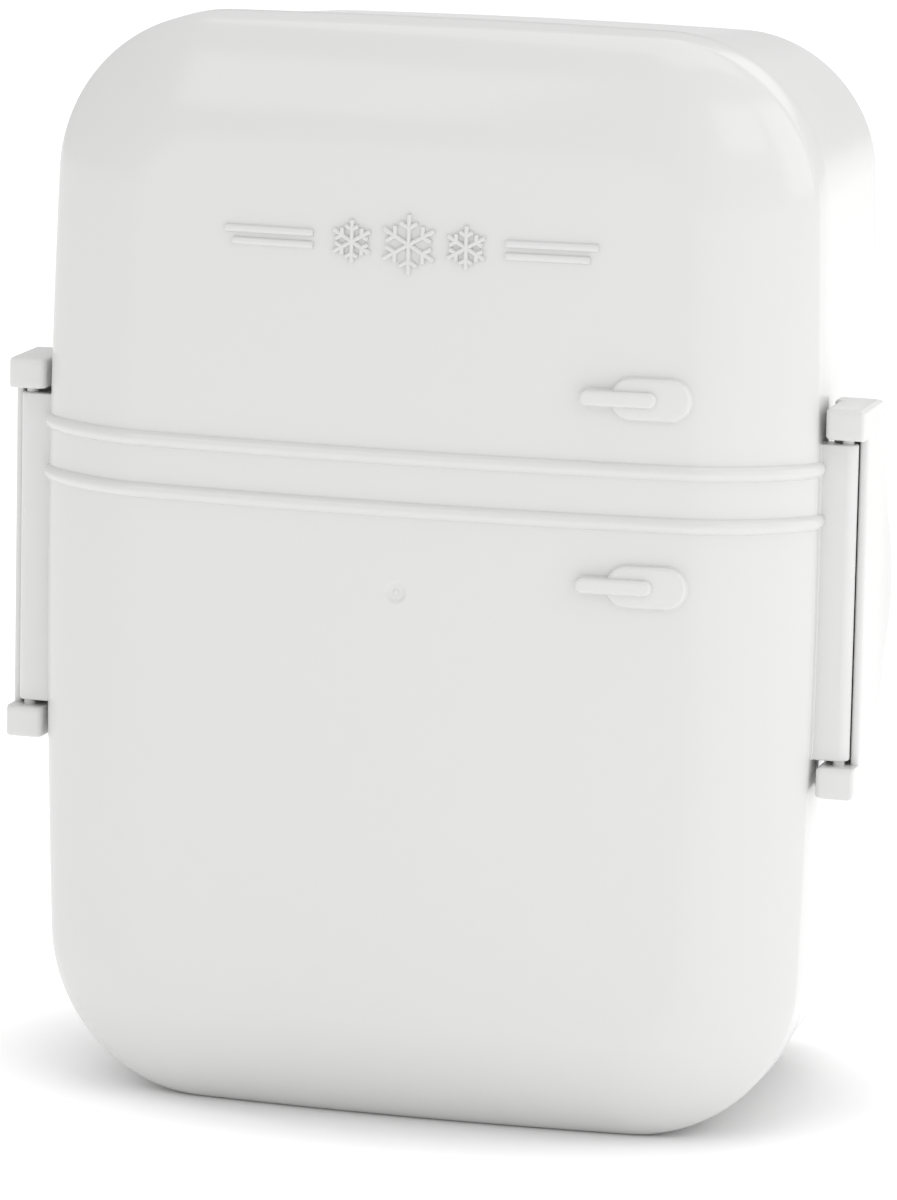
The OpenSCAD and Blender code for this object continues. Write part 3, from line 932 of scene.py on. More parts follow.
@dataclass
class LidCover:
    """Front lid: shell with its gasket groove, beads, door handles, emblem and hinge barrels."""

    shape: BodyShape
    border: Border
    shells: RingShell
    ridges: GeometryTool
    plastic: bpy.types.Material
    body: str = "lid"
    border_steps: int = 30
    front_steps: int = 14
    flat_share: float = 0.1
    cap_share: float = 0.09
    border_corner: float = 0.9
    rim_round: float = 0.4
    groove_in: float = 5.6
    groove_rib: float = 1.4
    groove_floor: float = 8.0
    groove_lip: float = 4.3
    groove_plate: float = 1.5
    bead_heights: tuple[float, float] = (114.9, 124.4)
    bead_width: float = 3.0
    bead_height: float = 1.05
    gate: PlanPoint = (-1.1, 99.8)
    gate_radius: float = 1.9
    gate_depth: float = 0.3
    barrel: "HingeBarrel" = field(default_factory=lambda: HingeBarrel())

    def front_rings(self, border: Border, wall: float) -> list[Ring]:
        """Rings of the crowned front and its rounded border, from the middle out to the side.

        Args:
            border: Rule of the border.
            wall: How far the surface lies inside the lid.

        Returns:
            The rings.
        """
        shape, face = self.shape, wall - self.shape.lid_depth
        corner = shape.corner - wall
        width, share = border.width, self.flat_share
        start = Ring(wall + width, face, corner - self.border_corner * width, wall + width, 1.0)
        rings = [replace(start, scale=scale, crown=0.0) for scale in (self.cap_share, share)]
        rings += [replace(start, scale=share + (1 - share) * k / self.front_steps)
                  for k in range(1, self.front_steps)]
        for step in range(self.border_steps + 1):
            inset, drop = border.point(math.pi / 2 * step / self.border_steps)
            radius = corner - self.border_corner * inset
            rings.append(Ring(wall + inset, face + drop, radius, wall + inset, 1.0))
        return rings

    def rim_rings(self) -> list[Ring]:
        """Rings of the rim and the gasket groove, from the outer side to the inner side."""
        shape, wall = self.shape, self.shape.lid_wall
        rib = self.groove_in + self.groove_rib
        plate = -self.groove_floor - self.groove_plate
        line = fillet(
            [(0.0, -4.0), (0.0, 0.0), (wall, 0.0), (wall, -self.groove_floor),
             (self.groove_in, -self.groove_floor), (self.groove_in, -self.groove_lip),
             (rib, -self.groove_lip), (rib, plate), (wall, plate), (wall, plate - 0.4)],
            [0, self.rim_round, self.rim_round, 0.3, 0.3, 0.45, 0.45, 0.45, 0.3, 0])
        return [Ring(d, y, shape.corner - d, d) for d, y in line]

    def _close_front(self, piece: bpy.types.Object) -> None:
        """Closes the flat front round the gate dimple, and the flat inner face."""
        bm = bmesh.new()
        bm.from_mesh(piece.data)
        bm.edges.index_update()
        front, inner = open_loops(bm)
        bmesh.ops.contextual_create(bm, geom=inner)
        face_y = -self.shape.lid_depth + self.shape.parting
        steps = [(1.22, 0.0), (1.12, 0.0), (1.0, 0.03), (0.93, 0.12), (0.86, 0.22), (0.75, 0.28), (0.62, 0.3),
                 (0.3, 0.3), (0.27, 0.25), (0.25, 0.15), (0.2, 0.1), (0.13, 0.08)]
        count = 64
        rings = []
        for share, depth in steps:
            radius, y = self.gate_radius * share, face_y + self.gate_depth * depth / 0.3
            rings.append([
                (self.gate[0] + radius * math.cos(FULL_TURN * k / count), y,
                 self.gate[1] + radius * math.sin(FULL_TURN * k / count)) for k in range(count)])
        before = set(bm.edges)
        loft(bm, rings, cap_start=False)
        rim = [e for e in bm.edges if e not in before and e.is_boundary]
        bmesh.ops.bridge_loops(bm, edges=front + rim)
        bm.to_mesh(piece.data)
        bm.free()

    def cover(self) -> bpy.types.Object:
        """Builds the lid's shell in place of the CAD lid."""
        border, wall = self.border, self.shape.lid_wall
        inside = replace(border, width=border.width - wall, depth=border.depth - wall)
        rings = self.front_rings(border, 0.0) + self.rim_rings() + self.front_rings(inside, wall)[::-1]
        piece = self.shells.build("lid_cover", rings, self.plastic)
        self._close_front(piece)
        finish_mesh(piece)
        return hand_over(piece, self.body, Slot.LID, "lid_shell")

    def face_y(self, x: float, z: float) -> float:
        """Depth of the lid's front where its border is straight, in the row frame."""
        fallen = self.border.drop(self.shape.side_at(z) - abs(x)) + self.shape.crown_at(x, z)
        return self.shape.parting - self.shape.lid_depth + fallen

    def bead_path(self, z: float) -> tuple[list[Point], list[Point]]:
        """Line round the lid's front at a height, from barrel to barrel.

        Args:
            z: The height.

        Returns:
            The line's points, and the direction away from the lid at each.
        """
        wall, flat = self.shape.side_at(z), self.shape.side_at(z) - self.border.width
        turns = [math.pi / 2 * step / self.border_steps for step in range(self.border_steps, -1, -1)]
        across = [wall - self.border.point(turn)[0] for turn in turns]
        across += [flat * (1 - k / self.front_steps) for k in range(1, self.front_steps)]
        half = [(wall, self.shape.parting - self.barrel.front)] + [(x, self.face_y(x, z)) for x in across]
        whole = half + [(0.0, self.face_y(0.0, z))] + [(-x, y) for x, y in reversed(half)]
        out = []
        for before, after in zip([whole[0], *whole], [*whole[1:], whole[-1]]):
            along = (Vector(after) - Vector(before)).normalized()
            out.append((-along.y, along.x, 0.0))
        return [(x, y, z) for x, y in whole], out

    def beads(self) -> bpy.types.Object:
        """Builds the two beads that stand for the gap between the doors."""
        paths = [self.bead_path(z) for z in self.bead_heights]
        mesh = line_mesh("bead_lines", [line for line, _ in paths], MM, [d for _, out in paths for d in out])
        piece = self.ridges.run(
            "door_beads", mesh, self.plastic, width=self.bead_width, height=self.bead_height,
            section_power=1.3, end_round=2.2, spacing=0.7, section_points=17)
        finish_mesh(piece, 70.0)
        return hand_over(piece, self.body, Slot.LID)

    def build(self) -> None:
        """Builds every piece of the lid."""
        self.cover()
        self.beads()
        for name, middle in (("upper", (44.75, 137.4)), ("lower", (44.8, 103.6))):
            DoorHandle(middle, self.plastic, self.face_y).build(name + "_door_handle", self.body)
        Emblem(self.ridges, self.plastic, self.face_y).build(self.body)
        for side in Side:
            self.barrel.build(side, self.shape, self.plastic, self.body)


@dataclass
class DoorHandle:
    """Moulded door handle: a low rounded plate with a higher lever across it."""

    middle: PlanPoint
    plastic: bpy.types.Material
    face_y: Callable[[float, float], float]
    plate: PlanPoint = (14.7, 7.7)
    plate_height: float = 1.3
    plate_edge: float = 1.15
    lever: PlanPoint = (14.0, 2.95)
    lever_height: float = 2.3
    lever_shift: float = 5.7
    lever_edge: float = 0.6
    foot: float = 0.3

    @staticmethod
    def outline(size: PlanPoint, offset: float, steps: int = 24) -> list[PlanPoint]:
        """Bar with round ends, seen from the front.

        Args:
            size: Length and height of the bar.
            offset: How far the outline is set in.
            steps: Segments in each end.

        Returns:
            Its points about the bar's middle.
        """
        reach, radius = (size[0] - size[1]) / 2, size[1] / 2 - offset
        turns = [(side, (1 - side) * math.pi / 2 + math.pi * (k / steps - 0.5))
                 for side in (1, -1) for k in range(steps + 1)]
        return [(side * reach + radius * math.cos(turn), radius * math.sin(turn)) for side, turn in turns]

    def boss(self, bm: bmesh.types.BMesh, middle: PlanPoint, size: PlanPoint, height: float,
             edge: float) -> None:
        """Adds one raised bar that follows the lid.

        Args:
            bm: Mesh to add to.
            middle: X and Z of its middle.
            size: Length and height as seen from the front.
            height: How far it stands proud.
            edge: Radius of its top edge.
        """
        inside = min(edge + 1.0, size[1] / 2 - 0.15)
        line = [(-self.foot, -0.3), (-self.foot, 0.0), (0.0, 0.0), (0.12, height), (inside, height)]
        profile = fillet(line, [0, 0, self.foot, edge, 0], 7)
        rings: Rings = []
        for offset, rise in profile:
            spots = [(x + middle[0], z + middle[1]) for x, z in self.outline(size, offset)]
            rings.append([(x, self.face_y(x, z) - rise, z) for x, z in spots])
        loft(bm, rings)

    def build(self, name: str, body: str) -> bpy.types.Object:
        """Builds the handle.

        Args:
            name: Name of the piece.
            body: Body that it moves with.

        Returns:
            The piece.
        """
        bm = bmesh.new()
        self.boss(bm, self.middle, self.plate, self.plate_height, self.plate_edge)
        lever_at = (self.middle[0] - self.lever_shift, self.middle[1])
        self.boss(bm, lever_at, self.lever, self.lever_height, self.lever_edge)
        piece = new_piece(name, bm, self.plastic, 50.0)
        return hand_over(piece, body, Slot.LID)


@dataclass
class Emblem:
    """Raised emblem: speed lines either side of a row of snowflakes."""

    ridges: GeometryTool
    plastic: bpy.types.Material
    face_y: Callable[[float, float], float]
    middle_z: float = 162.8
    height: float = 0.7
    line_width: float = 1.45
    line_start: float = 17.9
    line_lengths: PlanPoint = (16.7, 15.2)
    line_rise: PlanPoint = (1.1, -1.1)
    flake_pitch: float = 10.6
    flake_sizes: tuple[float, float, float] = (3.9, 5.4, 3.9)
    arms: int = 6
    arm_width: float = 0.95
    twig_start: float = 0.55
    twig_length: float = 0.34

    def on_face(self, start: PlanPoint, end: PlanPoint, steps: int) -> list[Point]:
        """Straight line between two places, laid on the lid's front."""
        spots = [Vector(start).lerp(Vector(end), k / steps) for k in range(steps + 1)]
        return [(spot.x, self.face_y(spot.x, spot.y), spot.y) for spot in spots]

    def speed_lines(self) -> list[list[Point]]:
        """The four speed lines, two on each side."""
        lines = []
        for side in Side:
            for length, rise in zip(self.line_lengths, self.line_rise):
                z = self.middle_z + rise
                ends = [(side.value * self.line_start, z), (side.value * (self.line_start + length), z)]
                lines.append(self.on_face(*ends, 8))
        return lines

    def flake_lines(self) -> list[list[Point]]:
        """The arms and twigs of the row of snowflakes."""
        lines = []
        for place, size in zip((-1, 0, 1), self.flake_sizes):
            centre = Vector((place * self.flake_pitch, self.middle_z))
            for arm in range(self.arms):
                turn = Matrix.Rotation(FULL_TURN * arm / self.arms, 2)
                joint = Vector((0.0, size * self.twig_start))
                strokes = [(Vector((0.0, 0.0)), Vector((0.0, size)))]
                for lean in (-1, 1):
                    twig = Matrix.Rotation(lean * math.pi / 3, 2) @ Vector((0.0, size * self.twig_length))
                    strokes.append((joint, joint + twig))
                lines += [self.on_face(centre + turn @ a, centre + turn @ b, 2) for a, b in strokes]
        return lines

    def build(self, body: str) -> None:
        """Builds the speed lines and the snowflakes.

        Args:
            body: Body that they move with.
        """
        for name, lines, width in (("speed_lines", self.speed_lines(), self.line_width),
                                   ("snowflakes", self.flake_lines(), self.arm_width)):
            forward = [(0.0, -1.0, 0.0)] * sum(len(line) for line in lines)
            mesh = line_mesh(name + "_lines", lines, MM, forward)
            piece = self.ridges.run(
                name, mesh, self.plastic, width=width, height=self.height,
                section_power=0.6, end_round=width / 2, spacing=0.14, section_points=11)
            finish_mesh(piece, 60.0)
            hand_over(piece, body, Slot.LID)


@dataclass(frozen=True)
class HingeBarrel:
    """Barrel on the lid's side with a bore at each end for a clip's pins."""

    x: float = 76.9
    front: float = 5.0
    radius: float = 1.9
    bore: float = 1.1
    bore_depth: float = 5.0
    low: float = 71.3
    high: float = 128.9
    flare: float = 0.4
    edge: float = 0.35
    steps: int = 14

    def section(self, shape: BodyShape, z: float, trim: float) -> list[Point]:
        """Outline in plan at a height, from the lid's wall round the barrel and back.

        Args:
            shape: The body.
            z: Height.
            trim: How far the outline is set in.

        Returns:
            The outline of the right barrel.
        """
        wall, y = shape.side_at(z), shape.parting - self.front
        radius, flare = self.radius - trim, self.flare
        root = wall - shape.lid_wall / 2
        half: list[PlanPoint] = [(root, -radius - flare)]
        for k in range(5):
            turn = math.pi / 2 * k / 4
            half.append((wall + flare * math.sin(turn), -radius - flare + flare * (1 - math.cos(turn))))
        for k in range(self.steps + 1):
            turn = math.pi / 2 * (k / self.steps - 1)
            half.append((self.x + radius * math.cos(turn), radius * math.sin(turn)))
        loop = half + [(px, -py) for px, py in reversed(half[:-1])]
        return [(px, y + py, z) for px, py in loop]

    def bore_ring(self, shape: BodyShape, z: float, count: int) -> list[Point]:
        """Ring of the bore at a height, with its points facing those of the section."""
        y = shape.parting - self.front
        turns = [math.pi * (2 * k / count - 1) for k in range(count)]
        return [(self.x + self.bore * math.cos(t), y + self.bore * math.sin(t), z) for t in turns]

    def build(self, side: Side, shape: BodyShape, plastic: bpy.types.Material, body: str) -> bpy.types.Object:
        """Builds the barrel.

        Args:
            side: Side of the lid.
            shape: The body.
            plastic: Its finish.
            body: Body that it moves with.

        Returns:
            The piece.
        """
        count = len(self.section(shape, self.low, 0.0))
        heights = [(self.low + e * (1 - math.cos(t)), e * (1 - math.sin(t)))
                   for e in (self.edge,) for t in (math.pi / 2 * k / 4 for k in range(4))]
        inner = self.high - self.low - 2 * self.edge
        middle = [(self.low + self.edge + inner * k / 8, 0.0) for k in range(9)]
        top = [(self.low + self.high - z, trim) for z, trim in reversed(heights)]
        rings = [self.bore_ring(shape, z, count) for z in (self.low + self.bore_depth, self.low)]
        rings += [self.section(shape, z, trim) for z, trim in heights + middle + top]
        rings += [self.bore_ring(shape, z, count) for z in (self.high, self.high - self.bore_depth)]
        bm = bmesh.new()
        loft(bm, [[(side.value * x, y, z) for x, y, z in ring] for ring in rings])
        piece = new_piece(side.word + "_hinge_barrel", bm, plastic)
        return hand_over(piece, body, Slot.LID)


@dataclass
class LidGasket:
    """Silicone seal in the lid's groove, with a rounded crown."""

    shape: BodyShape
    shells: RingShell
    silicone: bpy.types.Material
    outer: float = 2.1
    inner: float = 5.5
    floor: float = 8.0
    crown: float = 4.05

    def build(self) -> bpy.types.Object:
        """Builds the seal in place of the CAD one."""
        middle = (self.outer + self.inner) / 2
        line = fillet(
            [(middle, -self.floor), (self.outer, -self.floor), (self.outer, -self.crown - 0.35),
             (middle - 0.5, -self.crown), (middle + 0.5, -self.crown), (self.inner, -self.crown - 0.35),
             (self.inner, -self.floor), (middle, -self.floor)],
            [0, 0.3, 0.6, 0.8, 0.8, 0.6, 0.3, 0])
        rings = [Ring(d, y, self.shape.corner - d, d) for d, y in line]
        piece = self.shells.build("seal_ring", rings, self.silicone)
        finish_mesh(piece)
        return hand_over(piece, "lid", Slot.SEAL, "lid_gasket")


@dataclass
class RearTub:
    """Rear tub: drafted shell with its tongue, catch ledges and shelf rails."""

    shape: BodyShape
    shells: RingShell
    plastic: bpy.types.Material
    body: str = "tub"
    back_round: float = 6.0
    corner_trim: float = 0.65
    tongue_gap: float = 0.3
    tongue_height: float = 4.0
    rim_round: float = 0.35
    edge_steps: int = 12
    side_steps: int = 8
    ledge_x: float = 75.2
    ledge_front: float = 0.4
    ledge_back: float = 3.0
    ledge_half: float = 26.0
    rail_thickness: float = 1.2
    rail_reach: float = 1.6
    rail_front: float = 5.0
    rail_play: float = 0.2
    shelf_z: float = 119.65
    shelf_thickness: float = 2.0

    def ring(self, y: float, inset: float, lift: float, at: float | None = None) -> Ring:
        """Ring of the drafted side.

        Args:
            y: Depth that the draft is taken at.
            inset: How far in from the outer face.
            lift: Height off the ground.
            at: Depth that the ring lies at, if it isn't y.

        Returns:
            The ring.
        """
        shape = self.shape
        side = shape.tub_step + max(y, 0.0) * math.tan(shape.tub_draft) + inset
        corner = shape.corner - self.corner_trim * (side - inset) - inset
        return Ring(side, y if at is None else at, corner, lift)

    def back_rings(self, wall: float, radius: float) -> list[Ring]:
        """Rings of the back edge, from the flat back out to the side."""
        shape, rings = self.shape, []
        turn_y = shape.tub_depth - self.back_round
        for extra in (0.8, 0.4):
            inset = wall + radius + extra
            rings.append(self.ring(turn_y, inset, inset, shape.tub_depth - wall))
        for step in range(self.edge_steps, -1, -1):
            turn = math.pi / 2 * step / self.edge_steps
            inset = wall + radius * (1 - math.cos(turn))
            depth = shape.tub_depth - wall - radius + radius * math.sin(turn)
            rings.append(self.ring(turn_y, inset, inset, depth))
        return rings

    def sides(self, wall: float, lift: float, stop: float) -> list[Ring]:
        """Rings of the drafted side between the back edge and a depth."""
        start = self.shape.tub_depth - self.back_round
        depths = [start + (stop - start) * k / self.side_steps for k in range(1, self.side_steps + 1)]
        return [self.ring(y, wall, lift) for y in depths]

    def rim_rings(self) -> list[Ring]:
        """Rings of the tongue and the step, from the inner side out to the outer side."""
        shape = self.shape
        inner = shape.tub_step + shape.tub_wall
        outer = shape.lid_wall + self.tongue_gap
        line = fillet(
            [(inner, 0.6), (inner, -self.tongue_height), (outer, -self.tongue_height), (outer, 0.0),
             (shape.tub_step, 0.0), (shape.tub_step, 1.5)],
            [0, 0.4, 0.4, 0.2, self.rim_round, 0])
        rings = []
        for d, y in line[1:-1]:
            outside = max(0.0, min(1.0, (outer - d) / (outer - shape.tub_step)))
            rings.append(Ring(d, y, shape.corner - d + (1 - self.corner_trim) * shape.tub_step * outside,
                              d - shape.tub_step * outside))
        return rings

    def shell(self) -> bpy.types.Object:
        """Builds the tub's shell in place of the CAD tub."""
        shape = self.shape
        wall, lift = shape.tub_wall, shape.tub_step + shape.tub_wall
        inner = self.back_rings(wall, self.back_round - wall / 2)
        inner = [r for r in inner if r.depth <= shape.tub_depth]
        rings = inner + self.sides(wall, lift, 1.0) + self.rim_rings()
        outer = self.back_rings(0.0, self.back_round) + self.sides(0.0, 0.0, 1.5)
        piece = self.shells.build("tub_shell", rings + outer[::-1], self.plastic)
        bm = bmesh.new()
        bm.from_mesh(piece.data)
        bm.edges.index_update()
        for loop in open_loops(bm):
            bmesh.ops.contextual_create(bm, geom=loop)
        bm.to_mesh(piece.data)
        bm.free()
        finish_mesh(piece)
        return hand_over(piece, self.body, Slot.TUB, "rear_tub")

    def ledge(self, side: Side) -> bpy.types.Object:
        """Builds the ledge that a clip hooks behind.

        Args:
            side: Side of the tub.

        Returns:
            The piece.
        """
        bm = bmesh.new()
        front, back = (self.shape.parting + y for y in (self.ledge_front, self.ledge_back))
        low, high = self.shape.mid_z - self.ledge_half, self.shape.mid_z + self.ledge_half
        root = self.shape.tub_side_at(0.0, low) - self.shape.tub_wall / 2
        ends = [[(side.value * x, y, z) for x, y in
                 ((root, front), (self.ledge_x, front), (self.ledge_x, back), (root, back))]
                for z in (low, high)]
        prism(bm, ends[0], ends[1], 0.45)
        piece = new_piece(side.word + "_catch_ledge", bm, self.plastic)
        return hand_over(piece, self.body, Slot.TUB)

    def rails(self) -> bpy.types.Object:
        """Builds the two pairs of rails that hold the shelf."""
        shape, bm = self.shape, bmesh.new()
        y0, y1 = self.rail_front, shape.tub_depth - 2 * self.back_round
        offset = self.shelf_thickness / 2 + self.rail_play
        for side in Side:
            for up in (-1, 1):
                low = self.shelf_z + up * (offset + self.rail_thickness / 2) - self.rail_thickness / 2
                plan = [(shape.tub_side_at(y, self.shelf_z) - shape.tub_wall + grow, y)
                        for y, grow in ((y0, 1.2), (y1, 1.2), (y1, -self.rail_reach), (y0, -self.rail_reach))]
                ends = [[(side.value * x, y + shape.parting, z) for x, y in plan]
                        for z in (low, low + self.rail_thickness)]
                prism(bm, ends[0], ends[1], 0.35)
        return hand_over(new_piece("shelf_rails", bm, self.plastic), self.body, Slot.TUB)

    def build(self) -> None:
        """Builds every piece of the tub."""
        self.shell()
        self.rails()
        for side in Side:
            self.ledge(side)


@dataclass
class ShelfDivider:
    """Lift-out shelf with a front lip and a finger notch."""

    shape: BodyShape
    plastic: bpy.types.Material
    thickness: float = 2.0
    play: float = 0.4
    front: float = 2.0
    lip: float = 5.0
    notch: float = 11.0
    edge: float = 0.4

    def build(self) -> bpy.types.Object:
        """Builds the shelf in place of the CAD one."""
        low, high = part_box("shelf_divider")
        z = (low.z + high.z) / 2 / MM
        front = low.y / MM
        back = high.y / MM
        shape = self.shape
        wide = shape.tub_side_at(0.0, z) - shape.tub_wall - self.play
        narrow = shape.tub_side_at(back - shape.parting - 8.0, z) - shape.tub_wall - self.play
        notch = [(self.notch * math.cos(t), front - 0.5 + self.notch * math.sin(t) - 1.5)
                 for t in (math.radians(172 - 164 * k / 24) for k in range(25))]
        corners = [(wide - 0.2, front + 1.5), (narrow, back - 8.0), (narrow - 6.0, back),
                   (6.0 - narrow, back), (-narrow, back - 8.0), (0.2 - wide, front + 1.5)]
        plan = rounded_corners(corners, [0.8, 3.0, 3.0, 3.0, 3.0, 0.8])
        first = min(range(len(plan)), key=lambda k: (plan[k][1] - plan[k][0] * 0.001))
        plan = plan[first:] + plan[:first]
        if plan[1][0] < plan[0][0]:
            plan = [plan[0]] + plan[:0:-1]
        plan = [(x, y) for x, y in plan if y > front + 1.4]
        board = plan + [p for p in notch if p[1] > front + 1.5]
        bm = bmesh.new()
        prism(bm, [(x, y, z - self.thickness / 2) for x, y in board],
              [(x, y, z + self.thickness / 2) for x, y in board], self.edge, 3)
        inner = shape.tub_side_at(0.0, z) - shape.tub_wall - self.lip
        for side in Side:
            start, depth = self.notch - 0.6, front + self.thickness
            stretch = [(side.value * x, y) for x, y in
                       ((start, front), (inner, front), (inner, depth), (start, depth))]
            prism(bm, [(x, y, z - self.lip / 2) for x, y in stretch],
                  [(x, y, z + self.lip / 2) for x, y in stretch], self.edge, 3)
        piece = new_piece("shelf", bm, self.plastic)
        return hand_over(piece, "tub", Slot.SHELF, "shelf_divider")


@dataclass
class SideClip:
    """Swinging side clip: curved plate with a finger tab, two ears, hook and pins.

    The skin takes a small step below each ear, and straight stretches of an ear have a shallow dent,
    so that every section has the same number of points.
    """

    side: Side
    shape: BodyShape
    plastic: bpy.types.Material
    ear_height: float = 5.7
    ear_front: float = 8.7
    ear_x: float = 73.3
    ear_edge: float = 0.75
    back: float = 10.0
    tab_reach: float = 7.0
    tab_flare: float = 1.0
    wall: float = 1.5
    plate_front: float = -4.4
    plate_corner: float = 4.0
    outer_x: float = 80.3
    hook_x: float = 72.4
    hook_front: float = 3.2
    hook_thickness: float = 2.6
    pin_radius: float = 1.05
    pin_height: float = 4.0
    pin_bevel: float = 0.3
    hinge: HingeBarrel = field(default_factory=HingeBarrel)
    step: float = 0.02
    dent: float = 0.08
    rows: int = 60
    columns: int = 12
    round_steps: int = 4
    edge_steps: int = 5

    @property
    def node(self) -> str:
        """Name of the CAD node and of its body."""
        return self.side.word + "_clip"

    def heights(self) -> PlanPoint:
        """Lowest and highest Z of the clip, from the frame."""
        low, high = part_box(self.node)
        return low.z / MM, high.z / MM

    def back_at(self, z: float) -> float:
        """How far back the plate reaches at a height, with its tab and its round corners."""
        low, high = self.heights()
        middle, half = (low + high) / 2, (high - low) / 2
        away = abs(z - middle)
        share = away / (half - self.ear_height)
        tab = self.tab_reach * (1 - share**2) ** 2 if share < 1 else 0.0
        over = away - (half - self.plate_corner)
        radius, trim = self.plate_corner, 0.0
        if over > 0:
            trim = radius - math.sqrt(radius**2 - min(over, radius) ** 2)
        return self.back + tab - trim

    def corners(self, z: float, trim: float, in_ear: bool, flush: bool) -> list[Point]:
        """Corners of the clip's section at a height, each with its radius.

        Args:
            z: Height.
            trim: How far its edges are set in.
            in_ear: Whether it cuts an ear, which is solid from the outer face to the hook.
            flush: Whether the outer face and the back keep their place.

        Returns:
            X, Y and radius of the nine corners of the right clip.
        """
        face, wall = self.outer_x - (0.0 if flush else trim), self.wall
        rear = self.back_at(z) - (0.0 if flush else trim)
        hook, front = self.hook_x, self.hook_front
        if in_ear:
            tip, inner = hook + trim, self.ear_x + trim
            return [
                (face, trim - self.ear_front, 0.6), (face, rear, 0.7), (face - wall, rear - self.dent, 0.05),
                (face - 2 * wall, rear, 0.05), (tip, rear, 0.6), (tip + self.dent, (front + rear) / 2, 0.05),
                (tip, front + trim, 0.3), (inner, front - 1.0 + trim, 0.3),
                (inner, trim - self.ear_front, 1.2)]
        inner, depth = face - wall, self.hook_thickness
        return [
            (face, self.plate_front, 0.6), (face, rear, 0.7), (inner, rear, 0.7), (inner, front + depth, 0.5),
            (hook + depth / 2, front + depth, 0.3), (hook, front + depth / 2, 0.3), (hook, front, 0.3),
            (inner, front, 0.5), (inner, self.plate_front, 0.6)]

    def section(self, z: float, trim: float, in_ear: bool, flush: bool) -> list[Point]:
        """Section of the clip at a height, with round corners and the tab's curl.

        Args:
            z: Height.
            trim: How far its edges are set in.
            in_ear: Whether it cuts an ear.
            flush: Whether the outer face and the back keep their place.

        Returns:
            The section's points.
        """
        corners = self.corners(z, trim, in_ear, flush)
        plan = rounded_corners([(x, y) for x, y, _ in corners], [r for _, _, r in corners], self.round_steps)
        turn = self.round_steps + 1
        outer = self.between(plan[turn - 1], plan[turn])
        inner = self.between(plan[3 * turn - 1], plan[3 * turn])
        plan = plan[:turn] + outer + plan[turn:3 * turn] + inner + plan[3 * turn:]
        curl = [(max(y - self.back + 1.0, 0.0) / (self.tab_reach + 2.0)) ** 2 for _, y in plan]
        return [(self.side.value * (x + self.tab_flare * share), y + self.shape.parting, z)
                for (x, y), share in zip(plan, curl)]

    def between(self, start: PlanPoint, end: PlanPoint) -> list[PlanPoint]:
        """Points between two others, without the two."""
        return [tuple(Vector(start).lerp(Vector(end), k / self.columns)) for k in range(1, self.columns)]

    def skin(self, bm: bmesh.types.BMesh) -> None:
        """Adds the plate, the ears and the hook as one skin from the bottom up."""
        low, high = self.heights()
        edge, ear = self.ear_edge, self.ear_height
        turns = [math.pi / 2 * k / self.edge_steps for k in range(self.edge_steps + 1)]
        levels = [(edge * (1 - math.cos(t)), edge * (1 - math.sin(t)), True, False) for t in turns]
        levels += [(edge + (ear - 2 * edge) * k / 6, 0.0, True, False) for k in range(1, 6)]
        levels += [(ear - edge * (1 - math.sin(t)), edge * (1 - math.cos(t)), True, True) for t in turns]
        levels.append((ear + self.step, 0.0, False, True))
        lower = [(low + rise, *rest) for rise, *rest in levels]
        upper = [(high - rise, *rest) for rise, *rest in reversed(levels)]
        start, stop = low + ear, high - ear
        middle = [(start + (stop - start) * k / self.rows, 0.0, False, True) for k in range(1, self.rows)]
        loft(bm, [self.section(*level) for level in lower + middle + upper])

    def pins(self, bm: bmesh.types.BMesh) -> None:
        """Adds the two stub pins, with a chamfer at their tips."""
        low, high = self.heights()
        y = self.shape.parting - self.hinge.front
        for foot, tip in ((low + self.ear_height - 0.6, self.hinge.low + self.pin_height),
                          (high - self.ear_height + 0.6, self.hinge.high - self.pin_height)):
            way = 1 if tip > foot else -1
            rings = []
            full, bevel = self.pin_radius, self.pin_bevel
            for z, radius in ((foot, full), (tip - bevel * way, full), (tip, full - bevel)):
                rings.append([(self.side.value * (self.hinge.x + radius * math.cos(FULL_TURN * k / 32)),
                               y + radius * math.sin(FULL_TURN * k / 32), z) for k in range(32)])
            loft(bm, rings)

    def build(self) -> bpy.types.Object:
        """Builds the clip in place of the CAD one."""
        bm = bmesh.new()
        self.skin(bm)
        self.pins(bm)
        piece = new_piece(self.side.word + "_side_clip", bm, self.plastic)
        return hand_over(piece, self.node, Slot.CLIP, self.node)


# ---- studio ---------------------------------------------------------------


